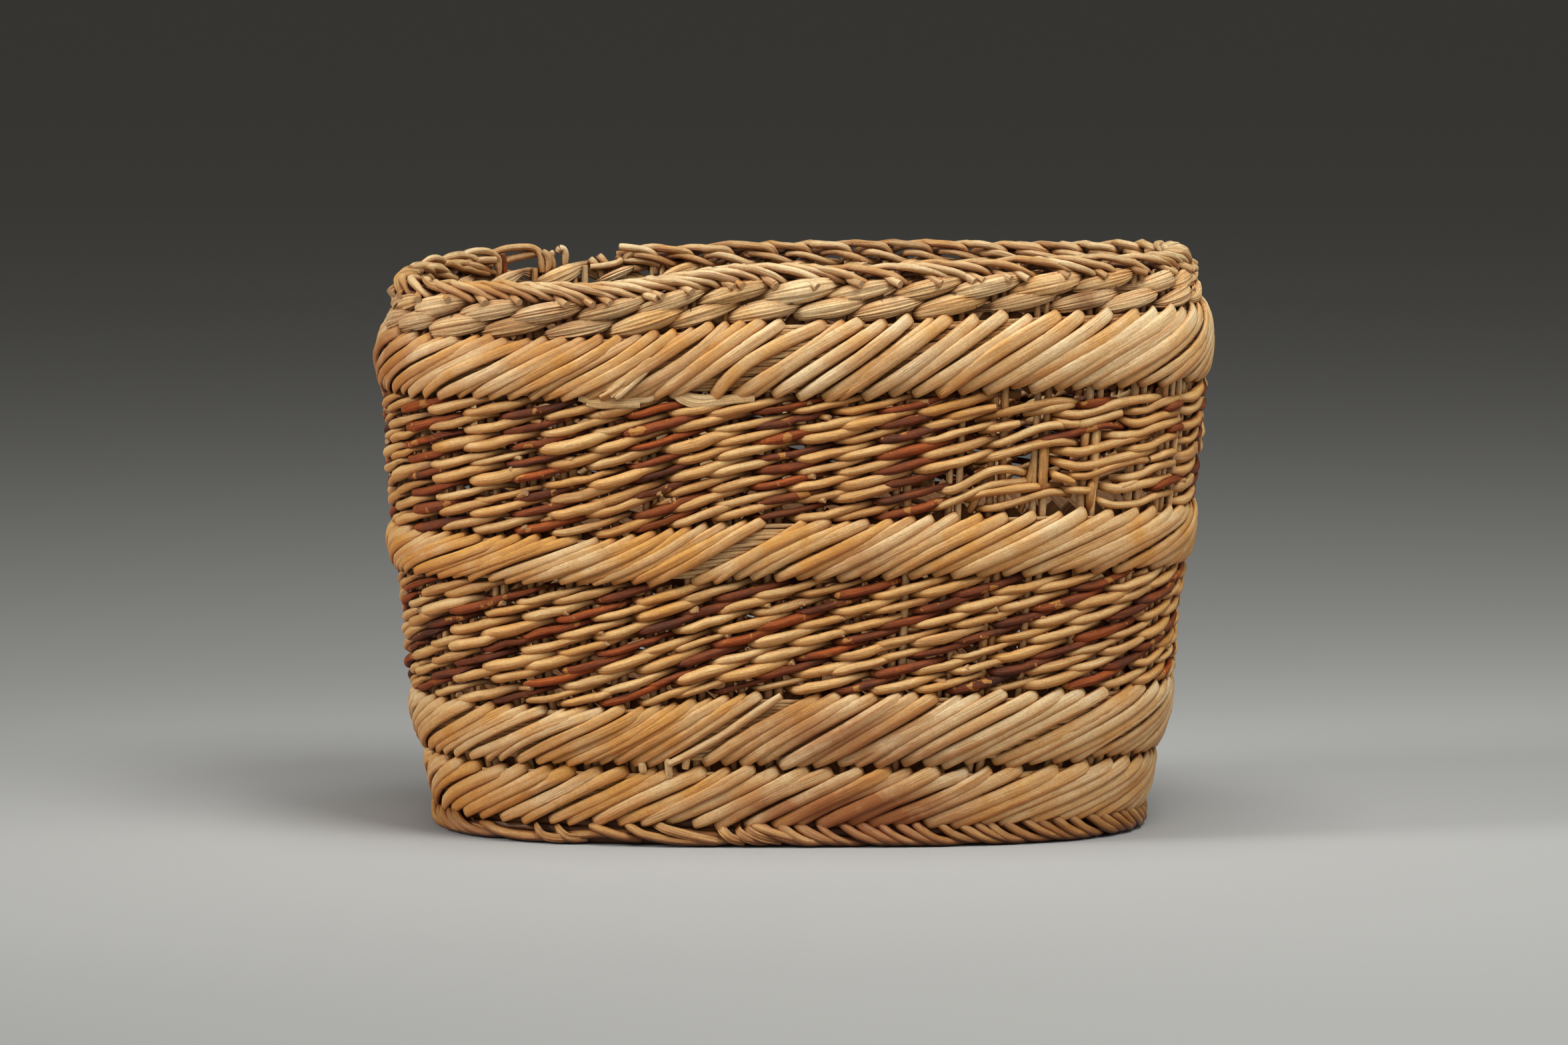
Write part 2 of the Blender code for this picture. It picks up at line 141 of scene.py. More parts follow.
world = bpy.data.worlds.new("studio")
world.use_nodes = True
sky = world.node_tree.nodes["Background"]
sky.inputs["Color"].default_value = WORLD_COLOUR
sky.inputs["Strength"].default_value = WORLD_STRENGTH
bpy.context.scene.world = world

for name, place, size, power, spread in LAMPS:
    lamp_data = bpy.data.lights.new(name, "AREA")
    lamp_data.spread = math.radians(spread)
    lamp_data.size = size
    lamp_data.energy = power
    lamp = new_object(name, lamp_data)
    lamp.location = place
    aim = Vector(LAMPS_AIM) - Vector(place)
    lamp.rotation_euler = aim.to_track_quat("-Z", "Y").to_euler()
print("Lamps:", [name for name, *_ in LAMPS])

# %% [markdown]
# The wall. Every rod is placed by three numbers: its share of the way round, counted from the
# middle of the front towards the right, its level, and its offset outwards from the line of the
# stakes. The plan is a rounded oblong that flares from the foot. It could be drawn as curves and
# lofted, but a formula can be asked for any place at all, which is what a weaver's path needs. The
# levels come from the frame's own nodes, so each course fills exactly the solid that stands for it.

# %% The wall's plan
FOOT_HALF = (0.1605, 0.0945)
KNEE_FLARE = (0.0165, 0.0085)
SHOULDER_FLARE = (0.0116, 0.0070)
RIM_DRAW_IN = (0.0026, 0.0015)
SQUARENESS = (2.8, 3.2, 3.5, 3.5)
FIT_GAP = 0.0003
STAKE_PAIRS = 54
PAIR = 1.0 / STAKE_PAIRS

LOWER_WALES = [f"lower_wale_{k + 1}" for k in range(7)]
UPPER_WALES = [f"upper_wale_{k + 1}" for k in range(8)]
COURSES = ["foot_border", "foot_band_rods", "lower_band_rods", *LOWER_WALES, "middle_band_rods"]
COURSES += [*UPPER_WALES, "upper_band_rods", "leaf_row_lower", "leaf_row_upper"]
COURSES += ["stakes_and_rim_border"]
SPANS = {}
bottom = 0.0
for course in COURSES:
    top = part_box(course)[1].z
    SPANS[course] = (bottom, top)
    bottom = top + FIT_GAP
RIM_TOP = SPANS["stakes_and_rim_border"][1]

half_sizes = [np.array(FOOT_HALF)]
for flare in (KNEE_FLARE, SHOULDER_FLARE, (-RIM_DRAW_IN[0], -RIM_DRAW_IN[1])):
    half_sizes.append(half_sizes[-1] + flare)
PLAN_HEIGHTS = [0.0, SPANS["lower_band_rods"][1], SPANS["upper_band_rods"][0], RIM_TOP]
PLAN_COLUMNS = [*np.array(half_sizes).T, SQUARENESS]
for row, place in ((-1, "Rim"), (0, "Foot")):
    print(place, np.round(2 * half_sizes[row] / MM, 1), "mm")

# %% [markdown]
# Nothing on an old basket is quite level or true. The courses drop on their way round, the right
# end and the back of the rim have been pulled up, the two ends have sunk in, and the whole wall
# wanders. Each of these is a small function of place, and the wall adds them up.

# %% How the courses drop, and how an old wall wanders
START_SHARE = 0.985
START_WIDTH_SHARE = 0.08
DROP_FROM_SHARE = 0.20
DROP_TO_SHARE = 0.65
DROP_PLACES = [
    ("lower_band_rods", 0, 0.0),
    ("lower_band_rods", 1, 0.0070),
    ("middle_band_rods", 0, 0.0025),
    ("middle_band_rods", 1, 0.0090),
    ("upper_band_rods", 0, 0.0010),
    ("upper_band_rods", 1, 0.0080),
]
DROP_LEVELS = [SPANS[course][end] for course, end, _ in DROP_PLACES]
DROP_SIZES = [size for *_, size in DROP_PLACES]
RIGHT_RISE = 0.0040
RIGHT_RISE_SHARES = (0.02, 0.12, 0.30, 0.44)
BACK_RISE = 0.0055
BACK_RISE_SHARES = (0.33, 0.48, 0.58, 0.70)
END_PULLS = [
    ("foot_border", 0, 0.0000, 0.0035),
    ("foot_band_rods", 1, -0.0010, 0.0025),
    ("lower_wale_1", 0, 0.0, 0.0020),
    ("lower_wale_4", 1, 0.0010, 0.0030),
    ("middle_band_rods", 0, 0.0, 0.0010),
    ("upper_wale_4", 0, 0.0, 0.0010),
    ("upper_band_rods", 0, 0.0010, 0.0010),
    ("upper_band_rods", 1, 0.0005, -0.0005),
    ("leaf_row_upper", 0, 0.0040, 0.0030),
    ("stakes_and_rim_border", 1, 0.0045, 0.0055),
]
PULL_LEVELS = [SPANS[course][end] for course, end, *_ in END_PULLS]
LEFT_PULLS = [left for *_, left, _ in END_PULLS]
RIGHT_PULLS = [right for *_, right in END_PULLS]
WANDER_OUT = 0.0007
WANDER_UP = 0.0005
WANDER_WAVES = [(2, 21, 1.0, 1.0), (5, -33, 2.1, 0.8), (11, 57, 3.7, 0.5)]


def drop_at(share, level):
    """How far the courses have dropped: nothing after the bands' start, most just before it."""
    past = (share - START_SHARE) % 1.0
    risen = smooth_step((past - DROP_FROM_SHARE) / (DROP_TO_SHARE - DROP_FROM_SHARE))
    fallen = smooth_step((past - 1.0 + START_WIDTH_SHARE) / START_WIDTH_SHARE)
    return (risen - fallen) * np.interp(level, DROP_LEVELS, DROP_SIZES)


def window(share, shares):
    """Rises from 0 to 1 between the first two shares and falls back between the last two."""
    a, b, c, d = shares
    share = share % 1.0
    return smooth_step((share - a) / (b - a)) - smooth_step((share - c) / (d - c))


def rise_at(share, level):
    """The right end has been pulled up a little, and the rim stands up again at the back."""
    right = RIGHT_RISE * window(share, RIGHT_RISE_SHARES) * smooth_step(level / RIM_TOP)
    band_top = SPANS["upper_band_rods"][1]
    above = smooth_step((level - band_top) / (RIM_TOP - band_top))
    return right + BACK_RISE * window(share, BACK_RISE_SHARES) * above


def pull_at(level, out_x):
    """How far the two ends of the old basket have sunk in."""
    left = np.interp(level, PULL_LEVELS, LEFT_PULLS) * np.clip(-out_x, 0, 1) ** 2
    return left + np.interp(level, PULL_LEVELS, RIGHT_PULLS) * np.clip(out_x, 0, 1) ** 2


def wander(share, level, phase):
    """A slow uneven wave over the wall, from about -1 to 1."""
    turn = 2 * math.pi * share
    waves = 0.0
    for turns, climb, shift, size in WANDER_WAVES:
        waves = waves + size * np.sin(turns * turn + climb * level + shift * phase)
    return waves / sum(size for *_, size in WANDER_WAVES)


print("The courses drop by up to", round(max(DROP_SIZES) / MM, 1), "mm")


# %% A point on the wall
TABLE_LEVELS = np.linspace(-0.01, 0.29, 61)
TABLE_STEPS = 720
OUT_PHASE = 0.4
UP_PHASE = 1.9


def plan_at(height):
    """Half the length, half the depth and the squareness of the plan at each height."""
    return [np.interp(height, PLAN_HEIGHTS, column) for column in PLAN_COLUMNS]


def plan_reach(angle, half_length, half_depth, squareness):
    """How far the plan reaches from its middle in each direction."""
    reach = np.abs(np.cos(angle) / half_length) ** squareness
    reach = reach + np.abs(np.sin(angle) / half_depth) ** squareness
    return reach ** (-1.0 / squareness)


def even_angles(level):
    """The directions that cut the plan at a level into even lengths, from the front's middle."""
    angle = np.linspace(-math.pi / 2, 1.5 * math.pi, 2 * TABLE_STEPS + 1)
    reach = plan_reach(angle, *plan_at(level))
    run = np.hypot(np.diff(reach * np.cos(angle)), np.diff(reach * np.sin(angle)))
    run = np.concatenate([[0.0], np.cumsum(run)])
    return np.interp(np.linspace(0.0, run[-1], TABLE_STEPS + 1), run, angle), run[-1]


TABLE = [even_angles(level) for level in TABLE_LEVELS]
ANGLES = np.array([angles for angles, _ in TABLE])
LENGTHS = np.array([length for _, length in TABLE])


def wall_length(level):
    """The length round the wall at a level."""
    return np.interp(level, TABLE_LEVELS, LENGTHS)


def wall(share, level, offset):
    """Places on the wall, and the direction straight out of it at each."""
    given = (np.asarray(value, float) for value in (share, level, offset))
    share, level, offset = np.broadcast_arrays(*given)
    row = (level - TABLE_LEVELS[0]) / (TABLE_LEVELS[1] - TABLE_LEVELS[0])
    row = np.clip(row, 0.0, len(TABLE_LEVELS) - 1.001)
    column = (share % 1.0) * TABLE_STEPS
    r, c = row.astype(int), np.minimum(column.astype(int), TABLE_STEPS - 1)
    low = ANGLES[r, c] + (ANGLES[r, c + 1] - ANGLES[r, c]) * (column - c)
    high = ANGLES[r + 1, c] + (ANGLES[r + 1, c + 1] - ANGLES[r + 1, c]) * (column - c)
    angle = low + (high - low) * (row - r)
    height = level - drop_at(share, level)
    half_length, half_depth, squareness = plan_at(height)
    reach = plan_reach(angle, half_length, half_depth, squareness)
    x, y = reach * np.cos(angle), reach * np.sin(angle)
    out_x = np.sign(x) * np.abs(x / half_length) ** (squareness - 1) / half_length
    out_y = np.sign(y) * np.abs(y / half_depth) ** (squareness - 1) / half_depth
    out = np.stack([out_x, out_y, np.zeros_like(x)], axis=-1)
    out = out / np.linalg.norm(out, axis=-1, keepdims=True)
    up_the_wall = smooth_step(level / SPANS["foot_band_rods"][1])
    offset = offset + WANDER_OUT * wander(share, level, OUT_PHASE) * up_the_wall
    offset = offset - pull_at(level, out[..., 0])
    height = height + rise_at(share, level)
    height = height + WANDER_UP * wander(share, level, UP_PHASE) * up_the_wall
    return np.stack([x, y, height], axis=-1) + offset[..., None] * out, out


print("Round the rim:", round(float(wall_length(RIM_TOP)) / MM), "mm")

# %% [markdown]
# What is loose, broken or stained follows no rule, so it is traced over the photograph. A pixel
# gives only a line of sight, but the wall is one surface, and a short search finds the share and
# level at which the camera sees it there.

# %% Where on the wall a pixel of the photograph falls
FRAME_PX = (2352, 1568)
FOCAL_PX = FRAME_PX[0] * CAMERA_LENS / SENSOR
SMALL_STEP = 0.0005
LARGEST_STEP = 0.08
SEARCH_ROUNDS = 12


def pixel_of(point):
    """The pixel at which the camera sees a point."""
    x, y, z = np.asarray(point, float) - CAMERA_AT
    ahead = y * math.cos(CAMERA_DOWN) - z * math.sin(CAMERA_DOWN)
    up = y * math.sin(CAMERA_DOWN) + z * math.cos(CAMERA_DOWN)
    across, upwards = FOCAL_PX * x / ahead, FOCAL_PX * up / ahead
    return np.array((FRAME_PX[0] / 2 + across, FRAME_PX[1] / 2 - upwards))


def seen_at(x_px, y_px, offset=0.0, near_share=0.0):
    """The share and level of the wall that the camera sees at a pixel, near that share."""
    share, level = near_share, RIM_TOP / 2
    for _ in range(SEARCH_ROUNDS):
        x, y = pixel_of(wall(share, level, offset)[0])
        across = (pixel_of(wall(share + SMALL_STEP, level, offset)[0])[0] - x) / SMALL_STEP
        upwards = (pixel_of(wall(share, level + SMALL_STEP, offset)[0])[1] - y) / SMALL_STEP
        share += np.clip((x_px - x) / across, -LARGEST_STEP, LARGEST_STEP)
        level += np.clip((y_px - y) / upwards, -LARGEST_STEP, LARGEST_STEP)
    return share, level


# %% Where the old stains are
STAINS_PX = [  # the place, how far it reaches across and up in metres, and its strength
    ((1300, 1214), 0.040, 0.012, 1.4),
    ((1180, 1208), 0.030, 0.010, 0.9),
    ((1255, 1100), 0.045, 0.013, 0.75),
    ((1340, 1125), 0.030, 0.009, 0.6),
    ((1290, 838), 0.016, 0.008, 0.5),
    ((1330, 545), 0.030, 0.010, 0.35),
    ((600, 520), 0.040, 0.022, 0.8),
    ((800, 500), 0.050, 0.016, 0.5),
    ((1100, 770), 0.100, 0.012, 0.22),
    ((1620, 448), 0.008, 0.004, 0.9),
    ((1010, 540), 0.020, 0.010, 0.35),
]
STAINS = [(*seen_at(*place_px), *sizes) for place_px, *sizes in STAINS_PX]
print("Stains at shares", [round(float(share % 1.0), 2) for share, *_ in STAINS])


def stain_at(share, level):
    """How stained the wall is at each place."""
    stained = 0.0
    for at_share, at_level, half_across, half_up, strength in STAINS:
        across = ((share - at_share + 0.5) % 1.0 - 0.5) * wall_length(at_level)
        far = (across / half_across) ** 2 + ((level - at_level) / half_up) ** 2
        stained = np.maximum(stained, strength * np.exp(-far))
    return stained


# %% [markdown]
# Rods. A rod is a line of points, each with the direction it faces, its radius, and what the paint
# needs to know: how far along the rod it is, how warm the rod's colour is, how much soiling and
# painted shade it takes there and how stained it is. One mesh of such lines holds all the rods of a
# piece. The Geometry Nodes tree turns the lines into curves, sweeps a section along them, and
# roughens the skin. Curves with a bevel could do the sweep, but not the ridged leaf sections or the
# values for the paint.

# %% Nodes by name
def put(tree, kind, inputs=None, output=0, **settings):
    """Adds a node, sets its options, sets or links its inputs, and gives one of its outputs."""
    made = tree.nodes.new(kind)
    for key, value in settings.items():
        setattr(made, key, value)
    for key, value in (inputs or {}).items():
        if isinstance(value, bpy.types.NodeSocket):
            tree.links.new(value, made.inputs[key])
        else:
            made.inputs[key].default_value = value
    return made.outputs[output] if made.outputs else None


def add_math(tree, operation, *values):
    """A Math node."""
    return put(tree, "ShaderNodeMath", dict(enumerate(values)), operation=operation)


def add_vector(tree, operation, first, second):
    """A Vector Math node."""
    inputs = {0: first, "Scale" if operation == "SCALE" else 1: second}
    return put(tree, "ShaderNodeVectorMath", inputs, operation=operation)


def noise(tree, vector, scale, detail=2.0, roughness=0.5, seed=None):
    """A Noise texture, which a seed makes four-dimensional."""
    inputs = {"Vector": vector, "Scale": scale, "Detail": detail, "Roughness": roughness}
    if seed is None:
        return put(tree, "ShaderNodeTexNoise", inputs)
    return put(tree, "ShaderNodeTexNoise", {**inputs, "W": seed}, noise_dimensions="4D")


def stored(tree, name, vector=False):
    """What a named attribute holds."""
    kind, output = ("FLOAT_VECTOR", "Vector") if vector else ("FLOAT", "Fac")
    if tree.type == "GEOMETRY":
        asked = {"Name": name}
        return put(tree, "GeometryNodeInputNamedAttribute", asked, "Attribute", data_type=kind)
    return put(tree, "ShaderNodeAttribute", None, output, attribute_name=name)


def straightened(tree, across, per_metre):
    """The skin of a rod as if the rod were straight: a place round it, and steps along it."""
    along = add_math(tree, "MULTIPLY", stored(tree, "along"), per_metre)
    around = add_vector(tree, "SCALE", stored(tree, "ring", True), across)
    return add_vector(tree, "ADD", around, put(tree, "ShaderNodeCombineXYZ", {"Z": along}))


def new_tree(name, kind, inputs, outputs):
    """A node group and what is given to it. An input without a number is named by its kind."""
    tree = bpy.data.node_groups.new(name, kind)
    for title, given in inputs.items():
        sort = given if isinstance(given, str) else type(given).__name__.capitalize()
        socket = tree.interface.new_socket(title, in_out="INPUT", socket_type="NodeSocket" + sort)
        if sort != given:
            socket.default_value = given
    for title, sort in outputs.items():
        tree.interface.new_socket(title, in_out="OUTPUT", socket_type="NodeSocket" + sort)
    return tree, tree.nodes.new("NodeGroupInput").outputs


# %% The tree that sweeps rods
FOLDS_PER_METRE = 14.0
SWEEP_INPUTS = {
    "Geometry": "Geometry",
    "Sides": 10,
    "Thickness": 1.0,
    "Width": 1.0,
    "Squareness": 2.0,
    "Ridges": 0.0,
    "Ridge Depth": 0.0,
    "Roughness": 0.0006,
    "Lumps Per Metre": 170.0,
    "Folds": 3.0,
    "Fold Depth": 0.0,
    "Seed": 0.0,
    "Material": "Material",
}


def make_sweep_tree():
    """Lines in, rods out: a section swept along each line, as thick as the line's radius says."""
    tree, given = new_tree("sweep_rods", "GeometryNodeTree", SWEEP_INPUTS, {"Geometry": "Geometry"})
    lines = put(tree, "GeometryNodeMeshToCurve", {"Mesh": given["Geometry"]})
    facing = {"Curve": lines, "Normal": stored(tree, "facing", True)}
    lines = put(tree, "GeometryNodeSetCurveNormal", facing, mode="FREE")

    circle = {"Resolution": given["Sides"], "Radius": 1.0}
    ring = put(tree, "GeometryNodeCurvePrimitiveCircle", circle)
    place = put(tree, "GeometryNodeInputPosition")
    kept = {"Geometry": ring, "Name": "ring", "Value": place}
    on_points = {"data_type": "FLOAT_VECTOR", "domain": "POINT"}
    ring = put(tree, "GeometryNodeStoreNamedAttribute", kept, **on_points)
    around = put(tree, "GeometryNodeSplineParameter", None, "Factor")
    turn = add_math(tree, "MULTIPLY", around, 2 * math.pi)
    ridge = add_math(tree, "COSINE", add_math(tree, "MULTIPLY", turn, given["Ridges"]))
    ridge = add_math(tree, "MULTIPLY_ADD", ridge, given["Ridge Depth"], 1.0)
    powers = []
    for axis in ("X", "Y"):
        side = add_math(tree, "ABSOLUTE", put(tree, "ShaderNodeSeparateXYZ", {0: place}, axis))
        powers.append(add_math(tree, "POWER", side, given["Squareness"]))
    root = add_math(tree, "DIVIDE", -1.0, given["Squareness"])
    square = add_math(tree, "POWER", add_math(tree, "ADD", *powers), root)
    size = {"X": given["Thickness"], "Y": given["Width"], "Z": 1.0}
    shaped = add_vector(tree, "MULTIPLY", place, put(tree, "ShaderNodeCombineXYZ", size))
    shaped = add_vector(tree, "SCALE", shaped, add_math(tree, "MULTIPLY", ridge, square))
    ring = put(tree, "GeometryNodeSetPosition", {"Geometry": ring, "Position": shaped})

    swept = {"Curve": lines, "Profile Curve": ring, "Fill Caps": True}
    swept = put(tree, "GeometryNodeCurveToMesh", {**swept, "Scale": stored(tree, "radius")})
    lumps = noise(tree, place, given["Lumps Per Metre"], seed=given["Seed"])
    height = add_math(tree, "MULTIPLY", add_math(tree, "SUBTRACT", lumps, 0.5), given["Roughness"])
    folds = straightened(tree, given["Folds"], FOLDS_PER_METRE)
    folds = add_math(tree, "SUBTRACT", noise(tree, folds, 1.0, 2.5, 0.6, given["Seed"]), 0.5)
    height = add_math(tree, "MULTIPLY_ADD", folds, given["Fold Depth"], height)
    push = add_vector(tree, "SCALE", put(tree, "GeometryNodeInputNormal"), height)
    rough = put(tree, "GeometryNodeSetPosition", {"Geometry": swept, "Offset": push})
    smooth = put(tree, "GeometryNodeSetShadeSmooth", {0: rough})
    real = put(tree, "GeometryNodeRealizeInstances", {0: smooth})
    painted = {"Geometry": real, "Material": given["Material"]}
    put(tree, "NodeGroupOutput", {0: put(tree, "GeometryNodeSetMaterial", painted)})
    return tree


SWEEP_TREE = make_sweep_tree()
print("The sweep has", len(SWEEP_TREE.nodes), "nodes")

# %% Rods from paths on the wall
PAINT_VALUES = ("radius", "along", "tone", "grime", "stain", "cut")
LONGEST_SHIFT = 50.0
CUT_SLICE = 0.00012
ANY_PHASE = (0, 6)
UP = np.array((0.0, 0.0, 1.0))


def free_rod(points, side, radius, tone, grime=0.0, stain=0.0, cut=False):
    """A rod through those points, its section square to that side. A cut end shows its pith."""
    points = np.asarray(points, float)
    sizes = np.broadcast_to(radius, len(points))
    values = {"radius": sizes, "tone": tone, "grime": grime, "stain": stain, "cut": 0.0}
    made = {name: np.broadcast_to(value, len(points)) for name, value in values.items()}
    if cut:
        last_leg = points[-1] - points[-2]
        slice_end = points[-1] + CUT_SLICE * last_leg / np.linalg.norm(last_leg)
        points = np.concatenate([points, [slice_end]])
        made = {name: np.append(value, value[-1]) for name, value in made.items()}
        made["cut"][-1] = 1.0
    facing = np.cross(np.gradient(points, axis=0), side)
    facing = facing / np.linalg.norm(facing, axis=1, keepdims=True)
    legs = np.linalg.norm(np.diff(points, axis=0), axis=1)
    made["along"] = np.concatenate([[0.0], np.cumsum(legs)])
    made["points"] = points
    made["facing"] = facing
    return made


def rod(rows, tone, side=None, cut=False):
    """A rod from rows of share, level, offset, radius, and soiling with painted shade. Its section
    keeps one side square to the way that it lies on the wall, or to the side given."""
    share, level, offset, radius, grime = np.asarray(rows, float).T
    points, out = wall(share, level, offset)
    if side is None:
        fifth = len(points) // 5
        side = np.cross(out[len(points) // 2], points[-1 - fifth] - points[fifth])
    return free_rod(points, side, radius, tone, grime, stain_at(share, level), cut)


# %% Rods traced over the photograph
TRACED_STEPS = 5
END_TAPER = 0.22
CLEAR_OF_GROUND = 1.25


def traced(points, radius, tone, near_share=0.0, **looks):
    """A rod through places seen in the photograph: pixels across and down, and mm outwards. One
    that would dip into the ground is squeezed upwards until it lies on it."""
    rows = []
    for x_px, y_px, out in points:
        share, level = seen_at(x_px, y_px, MM * out, near_share)
        rows.append((share, level, MM * out, radius, 0.0))
    rows = smooth_rows(rows, TRACED_STEPS)
    rows[:, 3] *= 1.0 - END_TAPER * np.linspace(-1, 1, len(rows)) ** 4
    lowest, highest = rows[:, 1].min(), rows[:, 1].max()
    ground = CLEAR_OF_GROUND * radius
    if lowest < ground < highest:
        rows[:, 1] = ground + (rows[:, 1] - lowest) * (highest - ground) / (highest - lowest)
    return rod(rows, tone, **looks)


# %% A piece from its rods
PIECES = []


def rod_lines(name, rods, seed):
    """One mesh of lines for all the rods, with their values on its points."""
    joined = {key: np.concatenate([made[key] for made in rods]) for key in rods[0]}
    counts = [len(made["points"]) for made in rods]
    shifts = np.random.default_rng(seed).uniform(0.0, LONGEST_SHIFT, len(rods))
    joined["along"] = joined["along"] + np.repeat(shifts, counts)
    firsts = np.delete(np.arange(sum(counts)), np.cumsum(counts) - 1)
    mesh = bpy.data.meshes.new(name)
    mesh.from_pydata(joined["points"], columns(firsts, firsts + 1).tolist(), [])
    for key in ("facing", *PAINT_VALUES):
        kind, field = ("FLOAT_VECTOR", "vector") if key == "facing" else ("FLOAT", "value")
        kept = mesh.attributes.new(key, kind, "POINT")
        kept.data.foreach_set(field, joined[key].astype(np.float32).ravel())
    return mesh


def add_piece(name, rods, material, slot, nodes=(), seed=0, **sizes):
    """Sweeps the rods into one finished object, which stands for those nodes of the frame."""
    mesh = rod_lines(name + "_lines", rods, seed)
    lines = new_object(name + "_lines", mesh)
    modifier = lines.modifiers.new("sweep", "NODES")
    modifier.node_group = SWEEP_TREE
    values = {**sizes, "Seed": float(seed), "Material": material}
    for socket in SWEEP_TREE.interface.items_tree:
        if socket.in_out == "INPUT" and socket.name in values:
            modifier[socket.identifier] = values[socket.name]
    swept = lines.evaluated_get(bpy.context.evaluated_depsgraph_get())
    made_mesh = bpy.data.meshes.new_from_object(swept)
    made_mesh.name = name
    made_mesh.attributes.remove(made_mesh.attributes["facing"])
    bpy.data.objects.remove(lines)
    bpy.data.meshes.remove(mesh)
    made = new_object(name, made_mesh)
    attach(made, "root")
    if nodes:
        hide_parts(*nodes)
    PIECES.append(made)
    faces = sum(len(face.vertices) - 2 for face in made_mesh.polygons)
    print(f"{name}: {len(rods)} rods, {faces} triangles")
    return made


# %% [markdown]
# The finishes. Peeled willow is pale straw where it stays clean and tan where hands and light have
# aged it, and painted shade makes it brown in the crevices and on the undersides. Fine fibres run
# along each rod, with a few dark knots. A painted image could not follow a thousand rods, so the
# paint reads the values that the sweep carries along. Fibres and knots are on every material, so
# each is a node group.

# %% Node groups of the paint
CELLS_PER_STEP = 0.55
KNOT_EDGE = 0.06
KNOT_HEART_RANGE = (0.45, 0.75)
KNOT_RING_RANGES = ((0.05, 0.20), (0.40, 0.22))
KNOT_RING = 0.16


def map_range(tree, value, low, high, to_low=0.0, to_high=1.0):
    """Stretches a value from one range to another, and holds it there."""
    ends = {"From Min": low, "From Max": high, "To Min": to_low, "To Max": to_high}
    return put(tree, "ShaderNodeMapRange", {"Value": value, **ends})


def mix_colour(tree, factor, first, second, blend="MIX"):
    """Blends two colours, each a socket or three numbers."""
    inputs = {0: factor}
    for socket, colour in ((6, first), (7, second)):
        inputs[socket] = (*colour, 1.0) if isinstance(colour, tuple) else colour
    return put(tree, "ShaderNodeMix", inputs, 2, data_type="RGBA", blend_type=blend)


def make_fibre_group():
    """Streaks that run along a rod, broad and fine."""
    inputs = {"Across": 1.0, "Along": 30.0, "Fineness": 4.0}
    group, given = new_tree("fibres", "ShaderNodeTree", inputs, {"Broad": "Float", "Fine": "Float"})
    place = straightened(group, given["Across"], given["Along"])
    fine = noise(group, place, given["Fineness"], detail=3.0, roughness=0.6)
    put(group, "NodeGroupOutput", {"Broad": noise(group, place, 1.0), "Fine": fine})
    return group


def make_knot_group():
    """Small knots here and there on a rod, as a mask: a dark heart, and a fainter ring round it."""
    inputs = {"Per Metre": 400.0, "Size": 0.34, "Amount": 0.06}
    group, given = new_tree("knots", "ShaderNodeTree", inputs, {"Mask": "Float"})
    place = straightened(group, 1.0, given["Per Metre"])
    cells = {"Vector": place, "Scale": CELLS_PER_STEP, "Randomness": 1.0}
    cells = put(group, "ShaderNodeTexVoronoi", cells).node.outputs
    near = map_range(group, cells["Distance"], given["Size"], KNOT_EDGE)
    ring = [map_range(group, near, *ends) for ends in KNOT_RING_RANGES]
    ring = add_math(group, "MULTIPLY", *ring)
    heart = map_range(group, near, *KNOT_HEART_RANGE)
    mask = add_math(group, "MULTIPLY_ADD", ring, KNOT_RING, heart)
    chance = put(group, "ShaderNodeSeparateColor", {0: cells["Color"]})
    chosen = add_math(group, "LESS_THAN", chance, given["Amount"])
    put(group, "NodeGroupOutput", {"Mask": add_math(group, "MULTIPLY", mask, chosen)})
    return group


FIBRES = make_fibre_group()
KNOTS = make_knot_group()
print("Paint groups:", FIBRES.name, KNOTS.name)

# %% What the paint of every sort of rod shares
# The darkest brown: knots, cracks, soiling, and painted shade in crevices.
BROWN_DIRT_AND_SHADE = (0.036, 0.009, 0.0015)
RUST_STAIN = (0.27, 0.092, 0.011)
PITH = (0.38, 0.22, 0.10)
BARE_WOOD = (0.46, 0.23, 0.06)
# A brown tint for painted shade where rods half cover one another and on their undersides.
PAINTED_SHADE_TINT = (0.76, 0.40, 0.13)
USUAL_LOOKS = {
    "roughness": 0.50,
    "gloss": 0.45,
    "depth": 0.0008,
    "crevice": 0.008,
    "underside": 0.85,
    "cracking": 0.55,
    "flaking": 0.0,
}
PATCHES_PER_METRE = 48.0
SPECKS_PER_METRE = 750.0
FLAKES_PER_METRE = 120.0
KNOT_SIZES = [
    {"Per Metre": 300.0, "Size": 0.52, "Amount": 0.10},
    {"Per Metre": 900.0, "Size": 0.34, "Amount": 0.16},
]
ROD_FIBRES = {"Across": 0.9, "Along": 26.0, "Fineness": 5.0}
BAND_FIBRES = {"Across": 1.2, "Along": 14.0, "Fineness": 5.0}
LEAF_FIBRES = {"Across": 4.6, "Along": 7.0, "Fineness": 5.0}
TONE_PART = 0.65
PATCH_PART = 1.9
SPECK_PART = 0.7
WARM_RANGE = (0.85, 1.85)
STREAK_RANGE = (0.50, 0.74, 0.0, 0.80)
SHADE_RANGE = (0.66, 1.04, 0.86, 1.10)
FLAKE_RANGE = (0.615, 0.635, 0.0)
STAIN_RANGE = (0.2, 0.5)
CRACK_RANGE = (0.655, 0.70, 0.0)
KNOT_STRENGTH = 0.80
